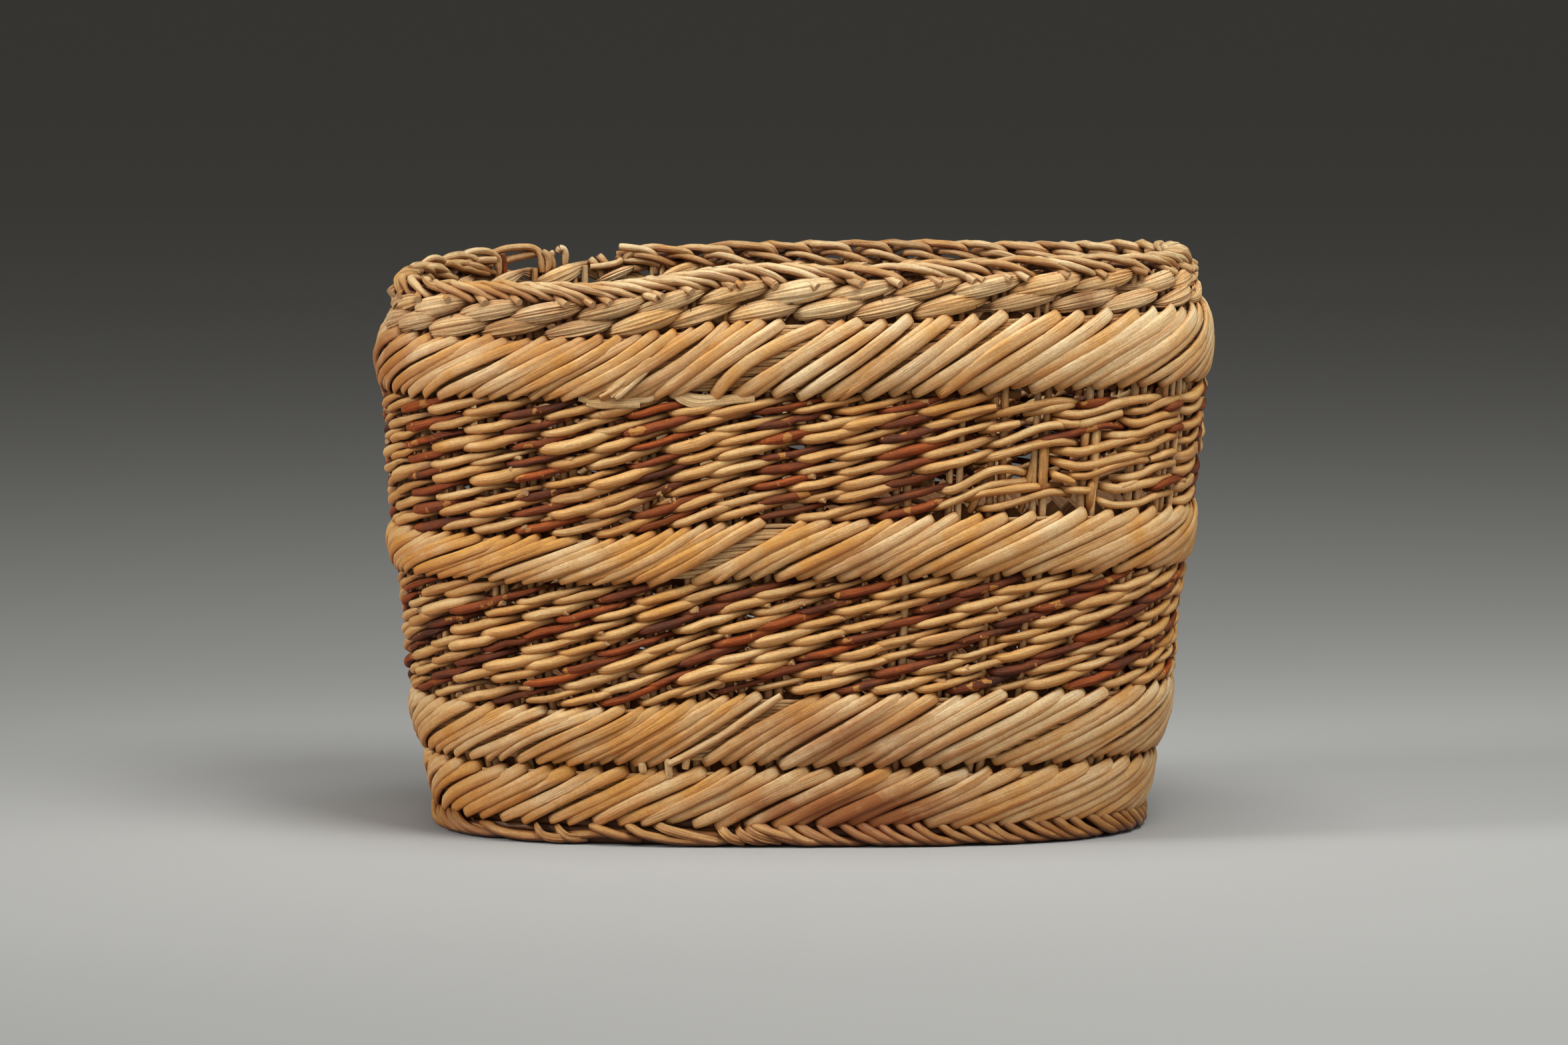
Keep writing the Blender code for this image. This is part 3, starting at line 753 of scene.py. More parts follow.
# These paint shade on undersides, where rods half cover one another and in deep crevices, and spread
# soiling and painted shade in patches.
UNDERSIDE_SHADE_RANGE = (0.55, -0.55, 0.0)
HALF_HIDDEN_SHADE_RANGE = (0.95, 0.42)
CREVICE_SHADE_RANGE = (0.56, 0.12, 0.0, 0.95)
DIRT_AND_SHADE_RANGE = (0.2, 0.8, 0.5, 0.9)
CUT_RANGE = (0.5, 0.9)
MATT_RANGE = (0.3, 0.7)
MATT_SPREAD = (-0.06, 0.1)
STREAK_BUMP = 1.6
MARK_BUMP = -0.6
SPECK_BUMP = 0.5
FLAKE_BUMP = -0.5
BUMP_STRENGTH = 0.7
AO_SAMPLES = 6


# %% The material of one sort of rod or strip
def make_finish(name, colours, fibres, **looks):
    """Paint for rods: pale to warm from rod to rod, deeper in streaks, with knots, cracks, stains,
    soiling and painted shade in the crevices. Where other rods half cover a rod, and on its
    undersides, painted shade makes it browner. Rods that kept their bark may be flaking."""
    looks = {**USUAL_LOOKS, **looks}
    pale, warm, deep, dirt_and_shade_colour = colours
    material = bpy.data.materials.new(name)
    material.use_nodes = True
    tree = material.node_tree
    shader = tree.nodes["Principled BSDF"].inputs
    shader["Specular IOR Level"].default_value = looks["gloss"]
    streaks = put(tree, "ShaderNodeGroup", fibres, node_tree=FIBRES).node.outputs
    knots = [put(tree, "ShaderNodeGroup", sizes, "Mask", node_tree=KNOTS) for sizes in KNOT_SIZES]
    place = put(tree, "ShaderNodeTexCoord", None, "Object")
    patches = noise(tree, place, PATCHES_PER_METRE, detail=4.0, roughness=0.6)
    specks = noise(tree, place, SPECKS_PER_METRE)
    flakes = noise(tree, place, FLAKES_PER_METRE, detail=3.0, roughness=0.55)

    warmth = add_math(tree, "MULTIPLY", stored(tree, "tone"), TONE_PART)
    warmth = add_math(tree, "MULTIPLY_ADD", patches, PATCH_PART, warmth)
    colour = mix_colour(tree, map_range(tree, warmth, *WARM_RANGE), pale, warm)
    colour = mix_colour(tree, map_range(tree, streaks["Broad"], *STREAK_RANGE), colour, deep)
    shade = add_math(tree, "MULTIPLY_ADD", specks, SPECK_PART, streaks["Fine"])
    shade = map_range(tree, shade, *SHADE_RANGE)
    shade = put(tree, "ShaderNodeCombineColor", {0: shade, 1: shade, 2: shade})
    colour = mix_colour(tree, 1.0, colour, shade, "MULTIPLY")
    flakes = map_range(tree, flakes, *FLAKE_RANGE, looks["flaking"])
    colour = mix_colour(tree, flakes, colour, BARE_WOOD)
    stained = map_range(tree, patches, *STAIN_RANGE)
    stained = add_math(tree, "MULTIPLY", stored(tree, "stain"), stained)
    colour = mix_colour(tree, stained, colour, RUST_STAIN)
    cracks = map_range(tree, streaks["Fine"], *CRACK_RANGE, looks["cracking"])
    knots = add_math(tree, "MULTIPLY", add_math(tree, "MAXIMUM", *knots), KNOT_STRENGTH)
    marks = add_math(tree, "MAXIMUM", cracks, knots)
    colour = mix_colour(tree, marks, colour, dirt_and_shade_colour)

    # Painted shade: browner where ambient occlusion finds other rods close by, and on faces that
    # point down.
    reach = {"Distance": looks["crevice"]}
    open_air = put(tree, "ShaderNodeAmbientOcclusion", reach, "AO", samples=AO_SAMPLES)
    normal = put(tree, "ShaderNodeNewGeometry", None, "Normal")
    upwards = put(tree, "ShaderNodeSeparateXYZ", {0: normal}, "Z")
    underside = map_range(tree, upwards, *UNDERSIDE_SHADE_RANGE, looks["underside"])
    painted_shade = add_math(tree, "MAXIMUM", map_range(tree, open_air, *HALF_HIDDEN_SHADE_RANGE), underside)
    shaded_colour = mix_colour(tree, 1.0, colour, PAINTED_SHADE_TINT, "MULTIPLY")
    colour = mix_colour(tree, painted_shade, colour, shaded_colour)
    # Soiling and painted shade in patches from the value the rods carry, and painted shade in the
    # deepest crevices.
    dirt_and_crevice_shade = map_range(tree, patches, *DIRT_AND_SHADE_RANGE)
    dirt_and_crevice_shade = add_math(tree, "MULTIPLY", stored(tree, "grime"), dirt_and_crevice_shade)
    dirt_and_crevice_shade = add_math(tree, "MAXIMUM", dirt_and_crevice_shade, map_range(tree, open_air, *CREVICE_SHADE_RANGE))
    colour = mix_colour(tree, dirt_and_crevice_shade, colour, dirt_and_shade_colour)
    cut = map_range(tree, stored(tree, "cut"), *CUT_RANGE)
    colour = mix_colour(tree, cut, colour, PITH)
    tree.links.new(colour, shader["Base Color"])

    matt = [looks["roughness"] + change for change in MATT_SPREAD]
    matt = map_range(tree, streaks["Broad"], *MATT_RANGE, *matt)
    tree.links.new(matt, shader["Roughness"])
    height = add_math(tree, "MULTIPLY_ADD", streaks["Broad"], STREAK_BUMP, streaks["Fine"])
    for value, part in ((marks, MARK_BUMP), (specks, SPECK_BUMP), (flakes, FLAKE_BUMP)):
        height = add_math(tree, "MULTIPLY_ADD", value, part, height)
    bump = {"Strength": BUMP_STRENGTH, "Distance": looks["depth"], "Height": height}
    tree.links.new(put(tree, "ShaderNodeBump", bump), shader["Normal"])
    return material


# %% The seven finishes
PEELED = make_finish(
    "peeled_willow",
    ((0.62, 0.44, 0.195), (0.52, 0.27, 0.055), (0.33, 0.135, 0.023), BROWN_DIRT_AND_SHADE),
    ROD_FIBRES,
)
BAND = make_finish(
    "band_willow",
    ((0.65, 0.54, 0.325), (0.54, 0.28, 0.050), (0.42, 0.175, 0.030), BROWN_DIRT_AND_SHADE),
    BAND_FIBRES,
    depth=0.0007,
)
# Its wider crevice reach paints more shade between the rim's strokes.
RIM = make_finish(
    "rim_willow",
    ((0.56, 0.43, 0.230), (0.37, 0.18, 0.036), (0.23, 0.085, 0.015), BROWN_DIRT_AND_SHADE),
    ROD_FIBRES,
    crevice=0.016,
    cracking=0.85,
)
# Its wider crevice reach paints more shade between the foot's rods.
FOOT = make_finish(
    "foot_willow",
    ((0.50, 0.32, 0.110), (0.33, 0.15, 0.027), (0.22, 0.084, 0.014), BROWN_DIRT_AND_SHADE),
    ROD_FIBRES,
    roughness=0.44,
    crevice=0.016,
)
DARK = make_finish(
    "dark_willow",
    ((0.36, 0.088, 0.013), (0.088, 0.030, 0.014), (0.035, 0.012, 0.006), (0.018, 0.005, 0.002)),
    ROD_FIBRES,
    roughness=0.56,
    gloss=0.2,
    depth=0.0012,
    flaking=0.9,
)
LEAF = make_finish(
    "flat_leaf",
    ((0.98, 0.76, 0.43), (0.91, 0.55, 0.195), (0.51, 0.215, 0.047), BROWN_DIRT_AND_SHADE),
    LEAF_FIBRES,
    roughness=0.6,
    depth=0.0026,
    crevice=0.004,
    underside=0.35,
)
# A darker copy of the leaf colours, as painted shade inside the basket together with old soiling.
SHADED_LINING = make_finish(
    "lining_leaf",
    ((0.42, 0.25, 0.100), (0.30, 0.14, 0.040), (0.16, 0.06, 0.014), BROWN_DIRT_AND_SHADE),
    LEAF_FIBRES,
    roughness=0.65,
    depth=0.0016,
)
print("Finishes:", [m.name for m in (PEELED, BAND, RIM, FOOT, DARK, LEAF, SHADED_LINING)])

# %% [markdown]
# The stakes come first on the real basket: willow rods in pairs, from the foot to the rim, that all
# the weaving runs round. They show only through gaps and where weavers are lost, but there they
# matter, so each pair is two real rods, a little uneven, and the pairs at the front right stand
# where the photograph shows them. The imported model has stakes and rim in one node, and the rim
# border below stands for it.

# %% Stakes
STAKE_RADIUS = 0.0021
STAKE_HALF_SPREAD = 0.0023
STAKE_STEPS = 26
STAKE_TAPER = (1.1, 0.85)
STAKE_SWAY = 0.0004
STAKE_WAVES = (20, 60)
STAKE_SIZES = (0.85, 1.1)
STAKE_TONES = (0.1, 0.7)
STAKE_SEAT_JITTER = 0.0002
NUDGED_PAIRS = dict(enumerate((0.15, 0.40, 0.45, 0.50, 0.76, 1.02, 1.00, 0.60, 0.30), start=2))
BARED = 0.0014


def stake_rods(seed):
    """Two rods a pair, up the wall."""
    rng = np.random.default_rng(seed)
    rods = []
    top = SPANS["stakes_and_rim_border"][0]
    level = np.linspace(SPANS["foot_band_rods"][0], top, STAKE_STEPS)
    for pair in range(STAKE_PAIRS):
        middle = (pair + 0.5 + NUDGED_PAIRS.get(pair, 0.0)) * PAIR
        bared = BARED * (pair in NUDGED_PAIRS) * np.sin(level / top * math.pi)
        for side in (-1, 1):
            turn = level * rng.uniform(*STAKE_WAVES) + rng.uniform(*ANY_PHASE)
            sway = STAKE_SWAY * np.sin(turn)
            share = middle + (side * STAKE_HALF_SPREAD + sway) / wall_length(level)
            radius = STAKE_RADIUS * np.linspace(*STAKE_TAPER, STAKE_STEPS)
            radius = radius * rng.uniform(*STAKE_SIZES)
            offset = sway + rng.normal(0, STAKE_SEAT_JITTER) + bared
            rows = columns(share, level, offset, radius, 0.0)
            rods.append(rod(rows, rng.uniform(*STAKE_TONES)))
    return rods


stakes = stake_rods(7)
print("Stakes:", len(stakes), "rods in", STAKE_PAIRS, "pairs")

# %% [markdown]
# Waling makes both open zones: three rods to a course, each in front of two pairs of stakes and
# behind the third, each one pair behind the last. So every stroke on the outside starts low, where
# it comes out round a stake, and ends high, where it slips in again under the next. One of the
# three rods is dark. Each rod is one long path, and its strokes differ in height, girth and tone.
# On the right of the upper zone the old weave has come apart. There the regular rods are left out
# and the loose ones are traced over the photograph, a few pixels for each.

# %% The waling rods
WEAVER_SEAT = 0.0026
WALE_RADIUS = 0.00215
DARK_RADIUS_SHARE = 0.86
WALE_SHARES = [  # pairs onwards, offset, height in the course, thickness
    (0.00, -1.00, 0.50, 0.82),
    (0.27, -0.80, 0.28, 0.84),
    (0.42, -0.20, 0.12, 0.88),
    (0.54, 0.40, 0.06, 0.94),
    (0.68, 0.80, 0.07, 1.01),
    (0.92, 0.99, 0.15, 1.06),
    (1.30, 0.99, 0.36, 1.08),
    (1.65, 0.90, 0.58, 1.02),
    (1.95, 0.74, 0.78, 0.93),
    (2.20, 0.48, 0.94, 0.84),
    (2.45, 0.05, 1.02, 0.78),
    (2.70, -0.60, 0.88, 0.78),
]
STROKE_JITTER = (0.06, 0.08, 0.085, 0.13)
KEY_JITTER = (0.0, 0.03, 0.028, 0.05)
TAPER = 0.12
TAPER_TURNS = 1.7
WALE_DIRT_AND_SHADE_REACH = 0.5
INSIDE_SHADE = 0.75
INSIDE = -0.3
LAP_PAIRS = 0.75
ALL_THERE = {}
LOST_PAIRS = {0: (3, 9), 1: (4, 10), 2: (5, 11)}  # of which rod, from which pair to which
LOST_PAIRS_LOW = {0: (3, 9), 1: (4, 10), 2: (2, 11)}
LOW_COURSES = 3


def waling_rows(rng, span, behind_pair, tones):
    """Rows along one rod all the way round, and which stroke each row belongs to."""
    bottom, top = span
    repeats = STAKE_PAIRS // 3
    keys = np.array(WALE_SHARES) + rng.normal(0, 1, (repeats + 1, 1, 4)) * STROKE_JITTER
    keys = keys + rng.normal(0, 1, keys.shape) * KEY_JITTER
    pairs = keys[..., 0] + 3 * np.arange(repeats + 1)[:, None] + behind_pair + 0.5
    turn = pairs / STAKE_PAIRS * 2 * math.pi
    taper = 1.0 + TAPER * np.sin(turn * TAPER_TURNS + rng.uniform(*ANY_PHASE))
    radius = WALE_RADIUS * keys[..., 3] * taper
    offset = keys[..., 1] * (WEAVER_SEAT + WALE_RADIUS)
    level = bottom + keys[..., 2] * (top - bottom + FIT_GAP)
    # Soiling and painted shade, most where the rod passes between the stakes; the parts inside the
    # basket get painted shade.
    grime = np.exp(-((keys[..., 1] / WALE_DIRT_AND_SHADE_REACH) ** 2))
    grime = np.maximum(grime, INSIDE_SHADE * (keys[..., 1] < INSIDE))
    rows = columns(pairs * PAIR, level, offset, radius, grime).reshape(-1, 5)
    stroke = np.repeat(np.arange(repeats + 1), len(WALE_SHARES))
    tone = rng.uniform(*tones, repeats + 1)[stroke]
    keep = pairs.ravel() <= STAKE_PAIRS + behind_pair + LAP_PAIRS
    return np.column_stack([rows, tone])[keep]


def waling_rod(rng, span, behind_pair, lost, size, tones):
    """The rod that goes behind that pair, smoothed, and in two lengths where some of it is lost."""
    rows = smooth_rows(waling_rows(rng, span, behind_pair, tones), 2)
    rows[:, 3] *= size
    pair = rows[:, 0] * STAKE_PAIRS - 0.5
    start, end = lost.get(behind_pair, (0, 0))
    lengths = [rows[pair <= start], rows[pair >= end]] if start < end else [rows]
    lengths = [rows for rows in lengths if len(rows) > 3]
    return [rod(rows[:, :5], np.clip(rows[:, 5], 0.0, 1.0), side=UP) for rows in lengths]


# %% Weave the two zones
DARK_LEAN = {"lower": 1, "upper": 0}
DARK_FIRST = {"lower": 0, "upper": 1}
DARK_TONES = (0.0, 1.3)
PALE_TONES = (0.0, 1.0)

for zone, names in (("lower", LOWER_WALES), ("upper", UPPER_WALES)):
    rng = np.random.default_rng(len(names))
    dark_rods = []
    for course, name in enumerate(names):
        dark = (DARK_FIRST[zone] + DARK_LEAN[zone] * course) % 3
        lost = LOST_PAIRS_LOW if course < LOW_COURSES else LOST_PAIRS
        lost = lost if zone == "upper" else ALL_THERE
        rods = {}
        for behind in range(3):
            looks = (DARK_RADIUS_SHARE, DARK_TONES) if behind == dark else (1.0, PALE_TONES)
            rods[behind] = waling_rod(rng, SPANS[name], behind, lost, *looks)
        dark_rods += rods.pop(dark)
        pale_rods = [length for lengths in rods.values() for length in lengths]
        add_piece(name + "_rods", pale_rods, PEELED, "peeled_willow", [name], course)
    add_piece(zone + "_zone_dark_rods", dark_rods, DARK, "dark_willow", seed=40)

# %% The loose rods of the upper zone, traced in pixels
LOOSE_PALE_PX = [
    [(1466, 629), (1512, 618), (1560, 606), (1592, 602), (1616, 604)],
    [(1536, 620), (1570, 614), (1596, 609), (1612, 607)],
    [(1572, 618), (1596, 621), (1620, 622), (1650, 614), (1680, 604), (1720, 598), (1742, 596)],
    [(1680, 617), (1700, 617), (1720, 614), (1750, 602), (1772, 596)],
    [(1572, 628), (1592, 634), (1612, 636), (1646, 628)],
    [(1676, 627), (1700, 635), (1722, 631), (1746, 622), (1770, 617)],
    [(1476, 669), (1500, 665), (1524, 656), (1560, 642), (1590, 638), (1610, 642)],
    [(1648, 651), (1676, 654), (1704, 651), (1740, 638), (1770, 624)],
    [(1466, 690), (1496, 684), (1530, 674), (1560, 666), (1596, 662), (1618, 668)],
    [(1574, 673), (1600, 677), (1622, 678), (1660, 668), (1696, 658), (1722, 654)],
    [(1676, 675), (1700, 674), (1724, 669), (1750, 656), (1768, 649)],
    [(1572, 688), (1596, 696), (1622, 700), (1660, 692), (1700, 682), (1736, 673)],
    [(1592, 710), (1612, 714), (1634, 713), (1670, 700), (1710, 690), (1734, 693)],
    [(1664, 717), (1688, 717), (1712, 711), (1740, 698), (1766, 690)],
    [(1404, 733), (1424, 736), (1442, 730), (1462, 719), (1484, 708), (1512, 704), (1540, 711)],
    [(1392, 765), (1416, 758), (1444, 746), (1480, 730), (1512, 724), (1558, 722)],
    [(1448, 750), (1466, 742), (1490, 737), (1540, 732), (1592, 728)],
    [(1464, 763), (1484, 763), (1508, 758), (1544, 747), (1580, 738), (1604, 743)],
    [(1586, 733), (1608, 735), (1630, 736), (1640, 735)],
    [(1646, 727), (1664, 732), (1684, 733), (1722, 724), (1762, 708)],
    [(1640, 745), (1654, 754), (1674, 758), (1706, 755), (1738, 742), (1762, 733)],
]
CUT_PALE_PX = [
    [(1404, 631), (1430, 625), (1462, 617), (1494, 611)],
    [(1604, 636), (1624, 636), (1650, 628), (1682, 619)],
    [(1470, 647), (1490, 643), (1510, 639), (1529, 635)],
    [(1574, 708), (1584, 714), (1598, 719), (1610, 723)],
    [(1712, 720), (1700, 723), (1686, 729), (1668, 737)],
    [(1762, 676), (1750, 680), (1738, 685), (1724, 689)],
]
LOOSE_DARK_PX = [
    [(1612, 610), (1630, 607), (1650, 603), (1674, 600)],
    [(1734, 612), (1750, 611), (1768, 606), (1782, 600)],
    [(1542, 664), (1566, 660), (1600, 652), (1632, 643), (1660, 638), (1692, 643)],
    [(1742, 648), (1760, 642), (1778, 632)],
    [(1716, 733), (1734, 730), (1756, 721), (1776, 711)],
]
LEANING_STAKES_PX = [
    [(1554, 676), (1549, 700), (1540, 733), (1530, 768)],
    [(1486, 705), (1476, 726), (1464, 748), (1454, 768)],
]
FRONT_STAKES_PX = [
    [(1566, 650), (1565, 672), (1564, 700), (1563, 728), (1562, 752)],
    [(1642, 630), (1642, 650), (1641, 680), (1641, 710), (1640, 740)],
    [(1629, 630), (1628, 650), (1626, 670), (1625, 696)],
    [(1637, 714), (1636, 730), (1634, 750), (1632, 776)],
]
FRONT_STAKE_OUT_MM = 2.7
LEANING_STAKE_OUT_MM = 0.8
LOOSE_OUT_MM = 4.2
LOOSE_OUT_JITTER = 0.25
LOOSE_RADIUS = 0.0021
LOOSE_SIZES = (0.88, 1.12)
LOOSE_TONES = (0, 0.9)
TUCKED = -0.4


def loose_rods(lines_px, seed, tucked_ends, out=LOOSE_OUT_MM, radius=LOOSE_RADIUS):
    """Traced rods of one sort, with one end or both tucked in behind the stakes."""
    rng = np.random.default_rng(seed)
    rods = []
    for line_px in lines_px:
        outs = [out + rng.normal(0, LOOSE_OUT_JITTER) for _ in line_px]
        for end in (0, -1)[:tucked_ends]:
            outs[end] = out * TUCKED
        points = [(x, y, size) for (x, y), size in zip(line_px, outs)]
        size = radius * rng.uniform(*LOOSE_SIZES)
        rods.append(traced(points, size, rng.uniform(*LOOSE_TONES), cut=tucked_ends == 1))
    return rods


pale_rods = loose_rods(LOOSE_PALE_PX, 51, 2) + loose_rods(CUT_PALE_PX, 52, 1)
pale_rods += loose_rods(LEANING_STAKES_PX, 53, 2, LEANING_STAKE_OUT_MM, STAKE_RADIUS)
pale_rods += loose_rods(FRONT_STAKES_PX, 56, 2, FRONT_STAKE_OUT_MM, STAKE_RADIUS)
add_piece("loose_pale_rods", pale_rods, PEELED, "peeled_willow", seed=51)
add_piece("loose_dark_rods", loose_rods(LOOSE_DARK_PX, 54, 2), DARK, "dark_willow", seed=54)

# %% [markdown]
# A willow rod is shorter than the way round, so each course is pieced: where one rod ends the next
# is laid in beside it, and the ends are cut off on the slant. They stand out a little all over the
# weave. Rods run out wherever they do, so random draws with a fixed seed give their places.

# %% Cut ends that stand out of the weave
STUBS_PER_COURSE = 9
STUB_RADII = (0.0011, 0.0017)
STUB_KEYS = [(-0.34, -1.6, -0.10), (-0.12, 1.6, -0.04), (0.06, 4.4, 0.06), (0.20, 6.0, 0.16)]
STUB_STRETCH = [(0.6, 1.3), (0.75, 1.0), (-1, 2)]
STUB_GRIME = 0.3
STUB_HEIGHTS = (0.1, 0.9)
STUB_TONES = (0.3, 1)


def stub_rods(seed, names):
    """Short ends where one weaver stops and another goes on, at uneven places round each course."""
    rng = np.random.default_rng(seed)
    rods = []
    for name in names:
        bottom, top = SPANS[name]
        for share in rng.uniform(0, 1, STUBS_PER_COURSE):
            if LOST_PAIRS[0][0] * PAIR < share < LOST_PAIRS[1][1] * PAIR and name in UPPER_WALES:
                continue
            keys = np.array(STUB_KEYS) * [rng.uniform(*limits) for limits in STUB_STRETCH]
            level = bottom + (rng.uniform(*STUB_HEIGHTS) + keys[:, 2]) * (top - bottom)
            size = rng.uniform(*STUB_RADII)
            rows = columns(share + keys[:, 0] * PAIR, level, MM * keys[:, 1], size, STUB_GRIME)
            rods.append(rod(smooth_rows(rows, 2), rng.uniform(*STUB_TONES), cut=True))
    return rods


add_piece("weave_stubs", stub_rods(55, LOWER_WALES + UPPER_WALES), PEELED, "peeled_willow", seed=55)

# %% [markdown]
# The raised bands are rods too, wrapped slantwise over a core of flat leaf: each comes out over the
# top edge, lies down across the band and turns in under its bottom edge. They are flattened and lie
# close, so a band reads as a row of slanting ridges.

# %% The slanting rods of a band
CORE_OUT = 0.0042
WRAP_RADIUS = 0.0026
WRAP_INSET = (0.0014, 0.0022)
FOOT_BAND_FROM = 0.02
FOOT_BAND_INSET = -0.0010
CROWDED_SHARES = (0.70, 0.80, 0.90, 0.99)
RIGHT_END_SHARES = (0.12, 0.17, 0.26, 0.34)
RIGHT_END_SHRINK = 0.24
LEANING_SHARES = (0.02, 0.12, 0.30, 0.45)
MORE_LEAN = 0.22
LEFT_END_SHADE_SHARES = (0.72, 0.80, 0.92, 0.99)
LEFT_END_SHADE = 0.30
GAP_REACH = 7.0
PLACE_JITTER = 0.10
SIZE_JITTER = 0.07
TIP_JITTER = 0.022
BEND_JITTER = 0.05
SEAT_JITTER = 0.0003
WRAP_HALF_THICKNESS = 0.0013
SWELL_POWER = 0.8
SWELLS_OUTSIDE = 0.5
WRAP_DIRT_AND_SHADE = 1.15
BODY_DIRT_AND_SHADE = 0.6
BODY_FROM = 0.1
WRAP_TONES = (0, 0.8)
WRAP_SHARES = [  # height up the band, offset, thickness
    (0.10, 0.05, 0.54),
    (0.03, 0.32, 0.66),
    (0.005, 0.64, 0.76),
    (0.03, 0.88, 0.86),
    (0.12, 1.00, 0.96),
    (0.28, 1.04, 1.03),
    (0.50, 1.05, 1.04),
    (0.72, 1.04, 1.04),
    (0.86, 1.00, 1.04),
    (0.955, 0.86, 1.04),
    (0.995, 0.60, 1.00),
    (0.99, 0.22, 0.92),
]


def wrap_places(rng, count, crowd, gap_share, gap_width):
    """Where the wraps of a band start: closer together left of the front, and parted at the gap."""
    share = np.linspace(0, 1, TABLE_STEPS + 1)
    tally = np.concatenate([[0.0], np.cumsum(1.0 + crowd * window(share[1:], CROWDED_SHARES))])
    even = (np.arange(count) + rng.normal(0, PLACE_JITTER, count)) / count
    places = np.interp(even, tally / tally[-1], share)
    past_gap = (places - gap_share + 0.5) % 1.0 - 0.5
    near = np.clip(1.0 - np.abs(past_gap) * count / GAP_REACH, 0, 1) * (gap_share < 1.0)
    return places + np.sign(past_gap) * near * gap_width / (2 * count)


def wrap_rods(seed, span, count, lean, bulge, crowd, tone, gap_share, gap_width):
    """The rods of a band, each from under its bottom edge up to the right and in over its top."""
    rng = np.random.default_rng(seed)
    bottom = span[0] + (WRAP_INSET[0] if span[0] > FOOT_BAND_FROM else FOOT_BAND_INSET)
    top = span[1] - WRAP_INSET[1]
    height = top - bottom
    keys = np.array(WRAP_SHARES)
    rods = []
    for place in wrap_places(rng, count, crowd, gap_share, gap_width):
        size, tip = rng.normal(1, SIZE_JITTER), rng.normal(0, TIP_JITTER, 2)
        squeeze = 1.0 / (1.0 + crowd * window(place, CROWDED_SHARES))
        squeeze = squeeze * (1.0 - RIGHT_END_SHRINK * window(place, RIGHT_END_SHARES))
        up = keys[:, 0]
        swell = bulge * np.sin(np.clip(up, 0, 1) * math.pi) ** SWELL_POWER
        level = bottom + up * height + np.interp(up, [0, 1], tip) * height
        across = up + rng.normal(0, BEND_JITTER) * np.sin(up * math.pi)
        reach = lean * (1.0 + MORE_LEAN * window(place, LEANING_SHARES))
        share = place + reach * across / wall_length((bottom + top) / 2)
        offset = keys[:, 1] * (CORE_OUT + FIT_GAP + WRAP_HALF_THICKNESS)
        offset = offset + swell * (keys[:, 1] > SWELLS_OUTSIDE) + rng.normal(0, SEAT_JITTER)
        radius = WRAP_RADIUS * keys[:, 2] * size * squeeze
        # Soiling and painted shade, darkest where the wrap turns in under the band's edges.
        grime = np.clip(WRAP_DIRT_AND_SHADE - keys[:, 1], 0, 1) ** 2
        grime = np.where(up < BODY_FROM, grime, grime * BODY_DIRT_AND_SHADE)
        rows = smooth_rows(columns(share, level, offset, radius, grime), 2)
        # Painted shade: the wraps round the left end get a browner tone, darkening that end.
        shaded_tone = tone + LEFT_END_SHADE * window(place, LEFT_END_SHADE_SHARES)
        rods.append(rod(rows, rng.uniform(*WRAP_TONES) + shaded_tone))
    return rods


# %% Wrap the four bands
BANDS = {  # how many wraps, their lean, bulge, crowding, tone and width
    "foot_band": (75, 0.053, 0.0006, 0.05, 0.20, 1.22),
    "lower_band": (95, 0.054, 0.0016, 0.15, 0.05, 1.15),
    "middle_band": (97, 0.053, 0.0018, 0.22, 0.40, 1.13),
    "upper_band": (102, 0.051, 0.0032, 0.28, 0.10, 1.29),
}
GAPS_PX = {  # the foot of the gap, and its width in wraps
    "upper_band": ((1040, 585), 0.8),
    "middle_band": ((1012, 866), 1.1),
    "lower_band": ((1010, 1150), 1.7),
}
NO_GAP = (2.0, 0.0)
FLATTENED = {"Thickness": 0.62, "Squareness": 2.6, "Sides": 18, "Roughness": 0.0010}

for seed, (band, (*looks, width)) in enumerate(BANDS.items()):
    gap = NO_GAP
    if band in GAPS_PX:
        foot_px, gap_width = GAPS_PX[band]
        gap = (seen_at(*foot_px)[0] % 1.0, gap_width)
    rods = wrap_rods(60 + seed, SPANS[band + "_rods"], *looks, *gap)
    nodes = [band + "_rods"]
    add_piece(band + "_wraps", rods, BAND, "band_willow", nodes, seed, Width=width, **FLATTENED)

# %% [markdown]
# Beside the gaps a few rods of the bands have slipped, split or dropped, and a leaf has come out
# under the upper band. Each is traced in a few pixels and laid on the face of its band.

# %% Odd rods of the bands, traced in pixels
BAND_OUT_MM = 6.4
THIN_WRAP = (BAND_OUT_MM + 0.8, 0.0021)  # mm outwards and radius, as in the four below
SPLIT_WRAP = (BAND_OUT_MM + 3.4, 0.0013)
DROPPED_END = (BAND_OUT_MM, 0.0019)
SPLIT_INSIDE = (BAND_OUT_MM + 2.6, 0.0030)
TWISTED_LEAF = (BAND_OUT_MM - 0.4, 0.0023)
ODD_TONES = (0.2, 0.8)
THIN_WRAP_PX = [[(1004, 1146), (1040, 1128), (1086, 1102), (1130, 1072), (1172, 1044)]]
SPLIT_WRAP_PX = [
    [(900, 596), (918, 586), (938, 571), (956, 554), (968, 543), (975, 540), (977, 547),
     (970, 558)],
    [(970, 558), (960, 567), (946, 580), (932, 592), (924, 598)],
]
SPLIT_INSIDE_PX = [[(914, 592), (930, 580), (948, 565), (962, 552), (971, 545)]]
DROPPED_ENDS_PX = [
    [(1002, 1138), (1003, 1150), (1004, 1167)],
    [(1030, 1134), (1029, 1143), (1028, 1153)],
    [(962, 1144), (964, 1151), (965, 1159)],
]
